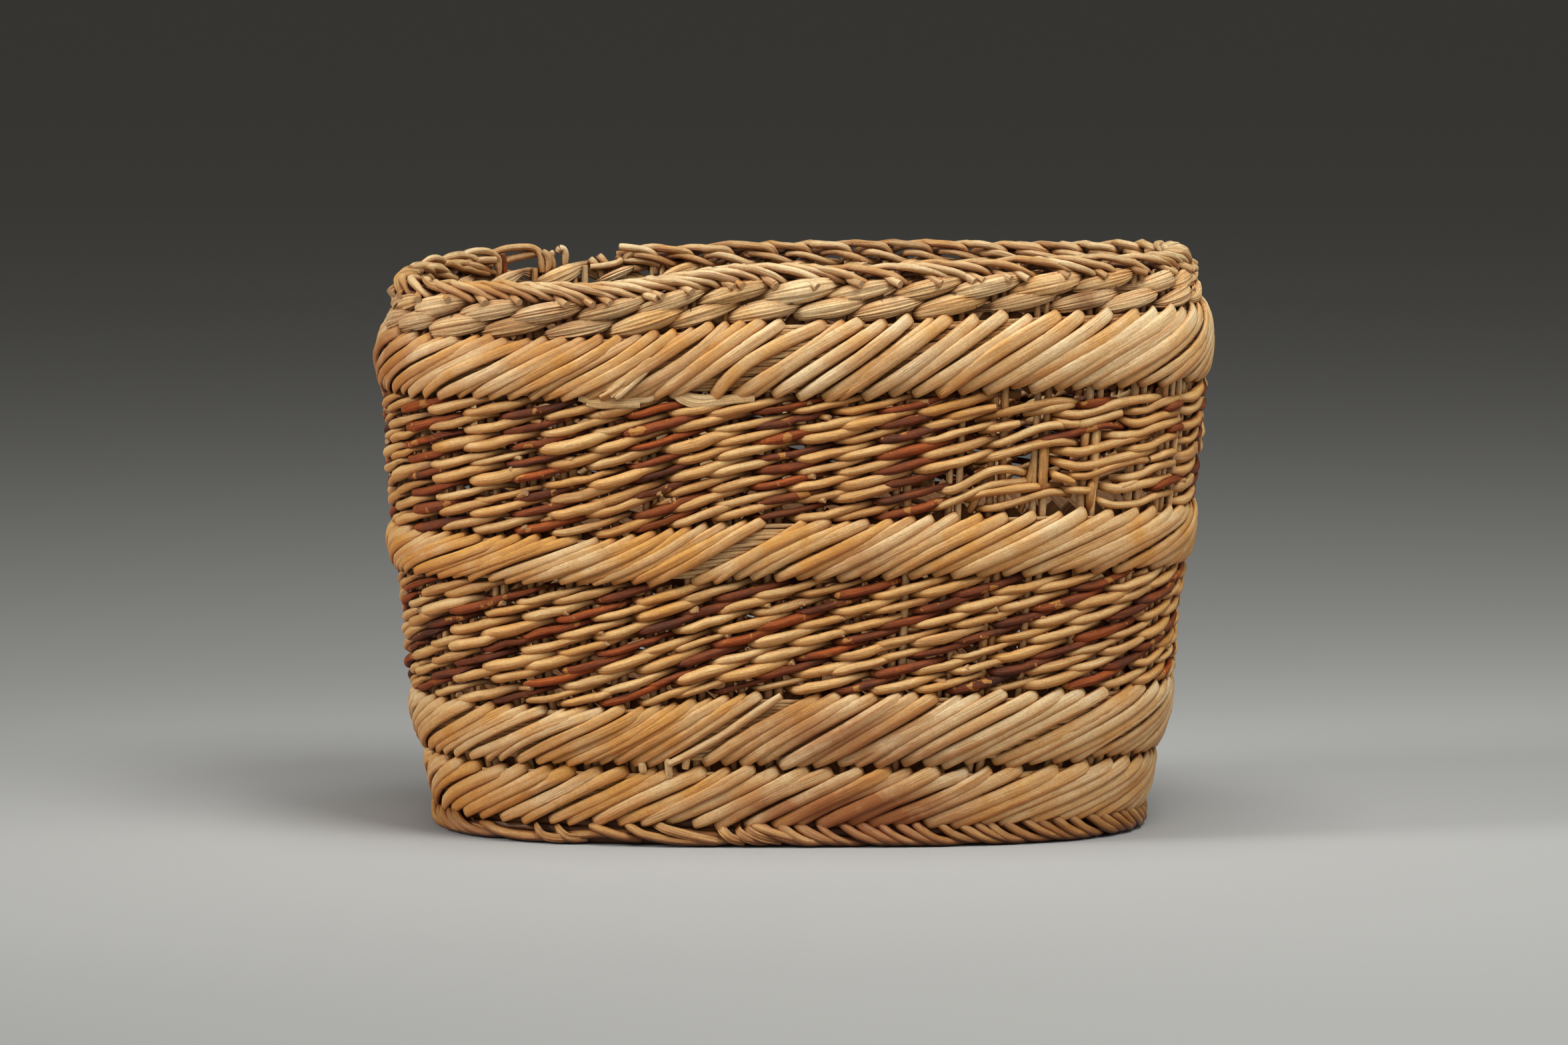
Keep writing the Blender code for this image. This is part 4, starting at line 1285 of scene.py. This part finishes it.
TWISTED_LEAF_PX = [
    [(1010, 590), (1026, 600), (1046, 606), (1072, 603), (1100, 599), (1132, 598)],
    [(1014, 588), (1030, 595), (1052, 600), (1078, 598)],
    [(868, 596), (892, 600), (920, 599), (948, 600), (972, 597), (984, 590)],
    [(880, 603), (904, 606), (930, 605), (960, 606)],
]


def odd_rods(lines_px, seed, out, radius, cut=False):
    """Traced rods that lie on the face of a band."""
    rng = np.random.default_rng(seed)
    rods = []
    for line_px in lines_px:
        points = [(x, y, out) for x, y in line_px]
        rods.append(traced(points, radius, rng.uniform(*ODD_TONES), cut=cut))
    return rods


odd = odd_rods(THIN_WRAP_PX, 71, *THIN_WRAP)
odd += odd_rods(SPLIT_WRAP_PX, 72, *SPLIT_WRAP)
odd += odd_rods(DROPPED_ENDS_PX, 73, *DROPPED_END, cut=True)
add_piece("odd_band_rods", odd, BAND, "band_willow", seed=71, Thickness=0.7)
FRAYED = {"Thickness": 0.4, "Sides": 32, "Fold Depth": 0.0020, "Folds": 5.0}
odd = odd_rods(SPLIT_INSIDE_PX, 74, *SPLIT_INSIDE)
odd += odd_rods(TWISTED_LEAF_PX, 75, *TWISTED_LEAF)
add_piece("odd_leaf_strips", odd, LEAF, "flat_leaf", seed=74, **FRAYED)

# %% [markdown]
# What the wraps go round is a core of narrow leaf strips, and it shows where they part. Inside the
# basket each band is lined with broad flat leaf on the slant. Both are swept with a flat section,
# and the lining's section has ribs, as such a leaf has.

# %% Cores and linings of flat leaf
STRIP_HALF_WIDTH = 0.0011
STRIP_STEPS = 120
STRIP_SWAY = 0.0005
STRIP_WAVE = 0.0003
STRIP_PITCH = 1.5 * STRIP_HALF_WIDTH
STRIP_WAVES = (5, 14)
FINER_WAVES = (11, 29)
STRIP_TONES = (0.4, 1.0)
CORE_INSET = 0.0034


def strip_rings(seed, bottom, top, offset, bulge):
    """Narrow strips laid round the wall, one above the other, from one level to another."""
    rng = np.random.default_rng(seed)
    count = max(2, round((top - bottom) / STRIP_PITCH))
    rods = []
    for k in range(count):
        share = np.linspace(0, 1, STRIP_STEPS + 1) + rng.uniform()
        up = (k + 0.5) / count
        turn = share * 2 * math.pi
        waves = turn * rng.integers(*STRIP_WAVES) + rng.uniform(*ANY_PHASE)
        sway = STRIP_SWAY * np.sin(waves)
        level = bottom + up * (top - bottom) + sway
        out = offset + bulge * math.sin(up * math.pi) + STRIP_WAVE * rng.uniform(-1, 1)
        out = out + STRIP_WAVE * np.sin(turn * rng.integers(*FINER_WAVES))
        rows = columns(share, level, out, STRIP_HALF_WIDTH, 0.0)
        rods.append(rod(rows, rng.uniform(*STRIP_TONES)))
    return rods


LINING_PITCH = 0.0105
LINING_LEAN = 0.030
LINING_HALF_WIDTH = 0.0046
LINING_SEAT = WEAVER_SEAT + 0.0010
LINING_DIRT_AND_SHADE = 0.3
LINING_JITTER = 0.12
LINING_SIZES = (0.85, 1.1)
LINING_TONES = (0.3, 1.0)
LINING_STEPS = 7
FLAT_STRIP = {"Thickness": 0.45, "Sides": 8}
BROAD_STRIP = {"Thickness": 0.12, "Width": 1.1, "Sides": 20, "Ridges": 8.0, "Ridge Depth": 0.05}


def lining_strips(seed, bottom, top):
    """Wide flat leaf inside a band, strip beside strip, on the slant."""
    rng = np.random.default_rng(seed)
    length = wall_length((bottom + top) / 2)
    strips = []
    for k in range(int(length / LINING_PITCH)):
        up = np.linspace(0, 1, LINING_STEPS)
        place = (k + rng.normal(0, LINING_JITTER)) * LINING_PITCH
        share = place / length + LINING_LEAN * up / length
        offset = -LINING_SEAT - STRIP_SWAY * rng.uniform(-1, 1) * np.sin(up * math.pi)
        size = LINING_HALF_WIDTH * rng.uniform(*LINING_SIZES)
        # Soiling and painted shade inside the basket.
        rows = columns(share, bottom + up * (top - bottom), offset, size, LINING_DIRT_AND_SHADE)
        strips.append(rod(rows, rng.uniform(*LINING_TONES)))
    return strips


for seed, band in enumerate(BANDS):
    bottom, top = SPANS[band + "_rods"]
    inset = (bottom + CORE_INSET, top - CORE_INSET)
    core = strip_rings(80 + seed, *inset, CORE_OUT, BANDS[band][2])
    nodes = [band + "_core"]
    add_piece(band + "_core_leaf", core, LEAF, "flat_leaf", nodes, 80 + seed, **FLAT_STRIP)
    nodes = [band + "_lining"]
    lining = lining_strips(90 + seed, max(bottom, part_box(nodes[0])[0].z), top)
    add_piece(band + "_lining_leaf", lining, SHADED_LINING, "flat_leaf", nodes, 90 + seed, **BROAD_STRIP)

# %% [markdown]
# Above the upper band two rows of flat leaf are twined: bundles of leaf, two to a row, that take
# turns outside and inside. Each bundle opens out flat where it crosses a stake and is pinched where
# it passes through, so its folds fan out and draw together again. A ridged section that swells and
# shrinks along the path does that.

# %% The twined leaf rows
LEAF_OUT = 0.0038
LEAF_RADIUS = 0.0035
LEAF_REPEAT_PAIRS = 3
LEAF_JITTER = (0.08, 0.08, 0.07, 0.13)
LEAF_DIRT_AND_SHADE = 0.8
LEAF_DIRT_AND_SHADE_REACH = 0.45
ROW_SHIFT_PAIRS = 0.75
BUNDLE_STARTS = (0.0, 1.5)
RIBBED = {"Sides": 64, "Thickness": 0.66, "Width": 1.10, "Fold Depth": 0.0040, "Folds": 6.5}
LEAF_SHARES = [  # pairs onwards, offset, height in the row, thickness
    (0.00, 0.20, 0.06, 0.45),
    (0.15, 0.70, 0.12, 0.72),
    (0.45, 1.00, 0.28, 0.98),
    (0.85, 1.10, 0.48, 1.08),
    (1.25, 1.02, 0.68, 1.00),
    (1.55, 0.75, 0.84, 0.74),
    (1.72, 0.20, 0.92, 0.48),
    (1.85, -0.40, 0.88, 0.55),
    (2.10, -0.90, 0.68, 0.88),
    (2.35, -1.00, 0.48, 0.95),
    (2.60, -0.90, 0.28, 0.85),
    (2.85, -0.35, 0.12, 0.50),
]


def leaf_bundle(rng, span, start_pair):
    """One bundle of leaf all the way round, now outside and now inside."""
    bottom, top = span
    repeats = STAKE_PAIRS // LEAF_REPEAT_PAIRS
    keys = np.array(LEAF_SHARES) + rng.normal(0, 1, (repeats, 1, 4)) * LEAF_JITTER
    pairs = keys[..., 0] + LEAF_REPEAT_PAIRS * np.arange(repeats)[:, None] + start_pair
    level = bottom + keys[..., 2] * (top - bottom)
    # Soiling and painted shade where the bundle passes in between the stakes.
    grime = LEAF_DIRT_AND_SHADE * np.exp(-((keys[..., 1] / LEAF_DIRT_AND_SHADE_REACH) ** 2))
    tone = rng.uniform(0, 1, (repeats, 1))
    offset, radius = keys[..., 1] * LEAF_OUT, LEAF_RADIUS * keys[..., 3]
    rows = columns(pairs * PAIR, level, offset, radius, grime, tone)
    rows = smooth_rows(rows.reshape(-1, 6), 3)
    return rod(rows[:, :5], np.clip(rows[:, 5], 0, 1), side=UP)


for row, name in enumerate(("leaf_row_lower", "leaf_row_upper")):
    rng = np.random.default_rng(110 + row)
    starts = [ROW_SHIFT_PAIRS * row + start for start in BUNDLE_STARTS]
    bundles = [leaf_bundle(rng, SPANS[name], start) for start in starts]
    add_piece(name + "_bundles", bundles, LEAF, "flat_leaf", [name], 110 + row, **RIBBED)

# %% [markdown]
# The rim is made of the stakes' own ends. Each is turned down to the right, runs along the top
# inside the next stake, comes over to the outside and slopes down across it, slips in, and ends
# outside as a short peg cut on the slant. The second rod of a pair is often cut off lower down, or
# only makes the outside stroke. At the back left the rim has broken away, and stubs stand there.

# %% The rim border
RIM_ROD_RADIUS = 0.0018
RIM_ROD_JITTER = (0.05, 0.3, 0.25, 0.05)
RIM_KEY_JITTER = (0.02, 0.18, 0.15, 0.02)
RIM_DIRT_AND_SHADE = 0.9
RIM_DIRT_AND_SHADE_MOST = 0.8
RIM_DIRT_AND_SHADE_REACH_MM = 2.2
RIM_NOT_DARKENED_DOWN_TO_MM = -3.5
RIM_INSET = 0.0001
BACK_SHARE = 0.6
BREAK_PX = (930, 742)
RIM_BEHIND_PX = 385
SECOND_ROD_CHANCE = 0.45
RIM_ROW = SPANS["stakes_and_rim_border"]
TURNED_DOWN = [  # pairs onwards, mm below the top, mm outwards, thickness
    (-0.02, -12.0, 0.0, 0.95),
    (0.00, -7.0, -0.8, 0.98),
    (0.08, -4.4, -2.4, 1.00),
    (0.30, -3.0, -3.4, 1.00),
    (0.65, -2.3, -3.0, 1.02),
    (0.90, -1.9, -1.2, 1.02),
    (1.04, -1.8, 1.0, 1.04),
    (1.20, -2.2, 2.8, 1.05),
    (1.55, -3.4, 3.7, 1.05),
    (1.88, -5.0, 3.9, 1.02),
    (2.10, -6.9, 3.7, 0.98),
    (2.25, -8.6, 2.6, 0.95),
    (2.38, -9.6, 0.6, 0.92),
    (2.60, -9.2, -2.2, 0.92),
    (2.95, -7.4, -3.9, 0.95),
    (3.35, -5.8, -3.7, 0.95),
    (3.60, -5.6, -1.6, 0.95),
    (3.74, -6.6, 1.0, 0.95),
]
PEG = [(3.88, -8.0, 4.0, 0.98), (4.08, -9.9, 7.2, 0.96)]
SECOND_ROD = [
    (0.02, -12.0, 0.0, 0.90),
    (0.03, -6.0, -0.4, 0.95),
    (0.10, -3.8, -1.4, 1.00),
    (0.26, -2.6, -1.8, 1.00),
    (0.42, -2.2, -0.4, 1.02),
    (0.54, -2.3, 1.4, 1.04),
    (0.70, -2.8, 2.9, 1.05),
    (1.05, -4.1, 3.8, 1.02),
    (1.35, -5.6, 4.0, 0.98),
    (1.58, -7.4, 3.7, 0.95),
    (1.72, -9.0, 2.6, 0.90),
    (1.80, -9.8, 0.8, 0.85),
]
SHORT_PEG = [
    (0.00, -5.0, -1.5, 0.95),
    (0.12, -6.4, 1.2, 0.98),
    (0.26, -8.0, 4.2, 1.0),
    (0.42, -9.8, 7.2, 0.98),
]
SHORT_PEGS = 18
FIRST_STROKE_KEYS = 9


def rim_rod(rng, keys, pair, cut):
    """A stake's end turned down along the rim."""
    keys = np.array(keys) + rng.normal(0, 1, (1, 4)) * RIM_ROD_JITTER
    keys = keys + rng.normal(0, 1, (len(keys), 4)) * RIM_KEY_JITTER
    share = (pair + 0.5 + keys[:, 0]) * PAIR
    level = RIM_ROW[1] - RIM_INSET + MM * keys[:, 1]
    # Soiling and painted shade between the strokes, none on the top of the rim.
    grime = RIM_DIRT_AND_SHADE - np.abs(keys[:, 2]) / RIM_DIRT_AND_SHADE_REACH_MM
    grime = np.clip(grime, 0.0, RIM_DIRT_AND_SHADE_MOST) * (keys[:, 1] < RIM_NOT_DARKENED_DOWN_TO_MM)
    rows = columns(share, level, MM * keys[:, 2], RIM_ROD_RADIUS * keys[:, 3], grime)
    side = None if len(keys) < FIRST_STROKE_KEYS else UP
    return rod(smooth_rows(rows, 3), rng.uniform(0, 1), side, cut)


def rim_rods(seed):
    """All the turned-down rods. Those that cross the broken stretch keep what lies outside it."""
    rng = np.random.default_rng(seed)
    ends = [seen_at(x_px, RIM_BEHIND_PX, near_share=BACK_SHARE)[0] for x_px in BREAK_PX]
    break_from, break_to = (share * STAKE_PAIRS for share in ends)
    rods = []
    for pair in range(STAKE_PAIRS):
        keys = np.array(TURNED_DOWN + PEG)
        reached = pair + 0.5 + keys[:, 0]
        broken = (reached > break_from) & (reached < break_to)
        before, after = keys[reached <= break_from], keys[reached >= break_to]
        for part in (before, after) if broken.any() else (keys,):
            if len(part) > 3:
                rods.append(rim_rod(rng, part, pair, cut=True))
        if not broken[:FIRST_STROKE_KEYS].any() and rng.uniform() < SECOND_ROD_CHANCE:
            rods.append(rim_rod(rng, SECOND_ROD, pair, cut=False))
    for pair in rng.uniform(0, STAKE_PAIRS, SHORT_PEGS):
        if not break_from - 1 < pair + 0.5 < break_to + 1:
            rods.append(rim_rod(rng, SHORT_PEG, pair, cut=True))
    return rods


# %% What is left of the rim at the break, traced in pixels
BACK_PLAIT_PX = [
    [(634, 396, 1), (648, 388, -2), (662, 390, -3), (674, 399, 1)],
    [(660, 394, 1), (676, 385, -2), (698, 383, -2), (714, 390, -2), (724, 402, 2)],
    [(652, 402, 1), (668, 395, -3), (686, 399, -4), (704, 410, 0)],
    [(680, 402, 1), (696, 396, -3), (718, 400, -4), (742, 410, 0)],
    [(634, 404, 0), (650, 401, -4), (664, 405, -4), (678, 413, 0)],
    [(616, 402, 0), (632, 401, -4), (646, 406, -4), (656, 414, 0)],
    [(932, 400, 1), (942, 384, -2), (960, 374, -2), (984, 371, -1), (1006, 376, -2),
     (1020, 386, 2)],
]
BROKEN_RIM_PX = [
    [(690, 386, -2), (704, 379, -2), (722, 377, -2), (736, 380, -1), (747, 389, 0),
     (748, 400, 0), (748, 414, 0)],
    [(738, 379, 1), (760, 373, 1), (790, 371, 1), (804, 375, 1), (811, 385, 0), (813, 408, -1)],
    [(738, 396, 2), (762, 390, 2), (790, 383, 2), (810, 380, 2)],
    [(820, 410, -1), (823, 396, -1), (821, 384, -1), (814, 377, -1)],
    [(829, 410, 1), (829, 396, 1), (826, 384, 1), (831, 378, 1)],
    [(847, 410, 0), (847, 396, 0), (848, 382, 0), (845, 374, 0), (839, 373, 0), (836, 378, 0)],
    [(906, 420, 0), (900, 407, 0), (892, 396, 0), (885, 388, 0)],
    [(922, 420, 1), (914, 404, 1), (905, 392, 1), (898, 383, 1)],
    [(934, 388, -3), (926, 395, -3), (906, 399, -3), (886, 401, -3)],
    [(990, 398, -2), (974, 393, -2), (954, 391, -2), (936, 391, -2)],
    [(964, 398, 1), (950, 396, 1), (936, 390, 1), (925, 384, 1)],
]
BROKEN_SIZES = (0.95, 1.15)
RED_STAKE_PX = [(756, 424, 0), (756, 404, 0), (755, 392, 0), (753, 381, 0)]


def broken_rim(lines_px, seed, cut=True):
    """The arches, stubs and hooks at the break."""
    rng = np.random.default_rng(seed)
    sizes = RIM_ROD_RADIUS * rng.uniform(*BROKEN_SIZES, len(lines_px))
    tones = [rng.uniform(0, 1) for _ in lines_px]
    traces = zip(lines_px, sizes, tones)
    return [traced(line, size, tone, BACK_SHARE, cut=cut) for line, size, tone in traces]


add_piece("stakes", stakes, BAND, "band_willow", seed=7)
rods = rim_rods(8) + broken_rim(BROKEN_RIM_PX, 57) + broken_rim(BACK_PLAIT_PX, 58, cut=False)
add_piece("rim_border", rods, RIM, "band_willow", ["stakes_and_rim_border"], 7, Sides=12)
add_piece("red_stake", broken_rim([RED_STAKE_PX], 58), DARK, "dark_willow", seed=58)

# %% [markdown]
# The foot border is plaited the same way, upside down: thicker rods come out under the foot band,
# bend down and run along the ground to the right, each over the end of the last. On the left the
# plait is worn away, so there the few rods and hanging leaves that are left are traced instead.

# %% The foot border
FOOT_ROD_RADIUS = 0.0021
FOOT_SHARES = [  # pairs onwards, height in the border, mm outwards, thickness
    (-0.12, 1.00, -1.6, 0.80),
    (0.00, 1.02, 1.6, 0.95),
    (0.10, 0.96, 4.6, 1.02),
    (0.26, 0.78, 6.8, 1.04),
    (0.52, 0.52, 7.9, 1.04),
    (0.86, 0.31, 8.0, 1.02),
    (1.25, 0.20, 7.0, 0.96),
    (1.60, 0.18, 5.0, 0.86),
    (1.90, 0.24, 2.6, 0.74),
]
FOOT_STEPS = (0.42, 0.50, 0.62)
FOOT_JITTER = (0.0, 0.03, 0.4, 0.10)
FOOT_STRETCH = (0.85, 1.25)
FOOT_TONES = (0.2, 1.2)
FOOT_DIRT_AND_SHADE = 1.05
FOOT_DIRT_AND_SHADE_RANGE = (0.15, 0.95)
FOOT_DIRT_AND_SHADE_REACH_MM = 8.0
FOOT_RINGS = [  # plain rods laid round inside: height in the border, mm outwards
    (0.24, 0.8),
    (0.60, 1.4),
    (0.92, 0.6),
    (0.28, -3.0),
    (0.70, -2.6),
    (1.06, -2.2),
    (0.50, -5.6),
]
RING_STEPS = 181
RING_SWAY = 0.0004
RING_DIRT_AND_SHADE = 1.1
RING_WAVES = (9, 20)
RING_TONES = (0.4, 1.0)
HANGING_LEAF_RADIUS = 0.0022
SPARSE_FOOT_PX = (716, 1112)
FOOT_LINE_PX = 1250
LEFT_FOOT_SIZES = (0.9, 1.1)
LEFT_FOOT_TONES = (0.2, 1.0)
LEFT_FOOT_PX = [
    [(724, 1234, 3), (736, 1240, 7), (748, 1252, 8), (776, 1265, 8), (812, 1270, 7),
     (846, 1269, 4)],
    [(692, 1232, 4), (712, 1240, 6), (744, 1247, 5), (790, 1252, 5), (840, 1256, 5),
     (880, 1253, 4)],
    [(824, 1262, 3), (860, 1258, 5), (900, 1252, 4), (950, 1250, 3)],
    [(886, 1238, 4), (904, 1246, 7), (930, 1255, 7), (962, 1261, 4)],
    [(940, 1236, 4), (950, 1246, 7), (970, 1259, 8), (1016, 1270, 8), (1066, 1272, 7),
     (1102, 1269, 5)],
    [(990, 1246, 4), (1030, 1250, 4), (1080, 1254, 4), (1120, 1258, 3)],
    [(1126, 1236, 4), (1138, 1244, 7), (1160, 1255, 8), (1190, 1266, 8), (1222, 1272, 6),
     (1250, 1272, 3)],
]
HANGING_LEAF_PX = [
    [(804, 1234, 4), (808, 1250, 8), (818, 1266, 9), (838, 1273, 9), (862, 1269, 7),
     (882, 1262, 5)],
    [(834, 1238, 4), (842, 1252, 8), (856, 1262, 8), (882, 1263, 5)],
    [(978, 1234, 4), (1000, 1245, 9), (1030, 1254, 9), (1060, 1262, 9), (1076, 1265, 8)],
    [(1078, 1236, 4), (1086, 1252, 8), (1098, 1266, 9), (1118, 1273, 8)],
    [(1106, 1238, 4), (1110, 1254, 8), (1126, 1268, 9), (1152, 1274, 7)],
    [(1118, 1236, 4), (1124, 1252, 8), (1142, 1265, 9), (1172, 1273, 7)],
]


def foot_rods(seed):
    """The plaited rods of the foot border, over plain rods laid round inside them."""
    rng = np.random.default_rng(seed)
    top = SPANS["foot_border"][1]
    sparse = [seen_at(x_px, FOOT_LINE_PX)[0] % 1.0 * STAKE_PAIRS for x_px in SPARSE_FOOT_PX]
    rods = []
    place = 0.0
    while place < STAKE_PAIRS:
        keys = np.array(FOOT_SHARES) + rng.normal(0, 1, (1, 4)) * FOOT_JITTER
        keys[:, 0] = keys[:, 0] * rng.uniform(*FOOT_STRETCH)
        radius = FOOT_ROD_RADIUS * keys[:, 3]
        level = np.maximum(top * keys[:, 1], CLEAR_OF_GROUND * radius)
        # Soiling and painted shade, more where the rod lies further in.
        grime = np.clip(FOOT_DIRT_AND_SHADE - keys[:, 2] / FOOT_DIRT_AND_SHADE_REACH_MM, *FOOT_DIRT_AND_SHADE_RANGE)
        rows = columns((place + keys[:, 0]) * PAIR, level, MM * keys[:, 2], radius, grime)
        if not sparse[0] < place < sparse[1]:
            rods.append(rod(smooth_rows(rows, 3), rng.uniform(*FOOT_TONES)))
        place += rng.choice(FOOT_STEPS)
    for rise, out in FOOT_RINGS:
        share = np.linspace(0, 1, RING_STEPS)
        sway = RING_SWAY * np.sin(share * 2 * math.pi * rng.integers(*RING_WAVES))
        # The rings inside are darkened: painted shade behind the plait, and soiling.
        rows = columns(share, top * rise + sway, MM * out + sway, FOOT_ROD_RADIUS, RING_DIRT_AND_SHADE)
        rods.append(rod(rows, rng.uniform(*RING_TONES), side=UP))
    for line in LEFT_FOOT_PX:
        radius = FOOT_ROD_RADIUS * rng.uniform(*LEFT_FOOT_SIZES)
        rods.append(traced(line, radius, rng.uniform(*LEFT_FOOT_TONES)))
    return rods


hanging = [traced(line, HANGING_LEAF_RADIUS, 0.5) for line in HANGING_LEAF_PX]
add_piece("hanging_leaf", hanging, FOOT, "flat_leaf", seed=59, **FRAYED)
add_piece("foot_border_plait", foot_rods(9), FOOT, "peeled_willow", ["foot_border"], 9, Sides=12)

# %% [markdown]
# The floor of the basket is not in the photograph. It is made as such floors are: stout sticks
# across, a few along, and willow woven over and under the cross sticks.

# %% The base
STICKS_TO_A_SIDE = 4
STICK_SPACING = 0.030
STICK_STEPS = 12
LONG_TO_A_SIDE = 1
LONG_SPACING = 0.028
LONG_STEPS = 30
WEAVE_SPACING = 0.0042
WEAVE_STEPS = 120
WEAVE_SIZES = (0.85, 1.1)
WEAVE_RADIUS = 0.0017
CROSS_STICK_RADIUS = 0.0026
LONG_STICK_RADIUS = 0.0021
LONG_STICK_RISE = 0.001
STICK_GRIME = 0.2
WEAVE_GRIME = 0.35
WEAVE_LEAN = 0.0008
WEAVE_LEAN_RATE = 90
SIDE_GAP = 0.005
END_GAP = 0.004
STICK_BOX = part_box("base_sticks")
STICK_LEVEL = (STICK_BOX[0].z + STICK_BOX[1].z) / 2
WEAVE_RISE = (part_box("base_weave_over")[1].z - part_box("base_weave_under")[0].z) / 2 - WEAVE_RADIUS


def half_span(place, half_across, half_along, squareness):
    """How far the base reaches to either side of its middle line at that place."""
    reached = 1.0 - (abs(place) / half_across) ** squareness
    return half_along * reached ** (1.0 / squareness) - END_GAP


def base_rods(seed):
    """Cross sticks and long sticks, and then the weavers between them."""
    rng = np.random.default_rng(seed)
    half_length, half_depth, squareness = (float(v) for v in plan_at(STICK_LEVEL))
    sticks, weavers = [], []
    for k in range(-STICKS_TO_A_SIDE, STICKS_TO_A_SIDE + 1):
        x = k * STICK_SPACING
        reach = half_span(x, half_length, half_depth, squareness)
        y = np.linspace(-1, 1, STICK_STEPS) * reach
        points = columns(x, y, STICK_LEVEL)
        sticks.append(free_rod(points, UP, CROSS_STICK_RADIUS, rng.uniform(0, 1), STICK_GRIME))
    for k in range(-LONG_TO_A_SIDE, LONG_TO_A_SIDE + 1):
        y = k * LONG_SPACING
        x = np.linspace(-1, 1, LONG_STEPS) * half_span(y, half_depth, half_length, squareness)
        rise = LONG_STICK_RISE * np.cos(x / STICK_SPACING * math.pi)
        points = columns(x, y, STICK_LEVEL + rise)
        sticks.append(free_rod(points, UP, LONG_STICK_RADIUS, rng.uniform(0, 1), STICK_GRIME))
    rows = int(half_depth / WEAVE_SPACING)
    for k in range(-rows, rows + 1):
        y = k * WEAVE_SPACING
        if abs(y) > half_depth - SIDE_GAP:
            continue
        x = np.linspace(-1, 1, WEAVE_STEPS) * half_span(y, half_depth, half_length, squareness)
        turn = 1 if k % 2 else -1
        rise = turn * WEAVE_RISE * np.cos(x / STICK_SPACING * math.pi)
        lean = WEAVE_LEAN * np.sin(x * WEAVE_LEAN_RATE + k)
        radius = WEAVE_RADIUS * rng.uniform(*WEAVE_SIZES)
        points = columns(x, y + lean, STICK_LEVEL + rise)
        weavers.append(free_rod(points, UP, radius, rng.uniform(0, 1), WEAVE_GRIME))
    return sticks, weavers


sticks, weavers = base_rods(10)
add_piece("base_sticks_round", sticks, DARK, "dark_willow", ["base_sticks"], 10, Sides=10)
weave_nodes = ["base_weave_under", "base_weave_over"]
add_piece("base_weave", weavers, PEELED, "peeled_willow", weave_nodes, 11, Sides=8)
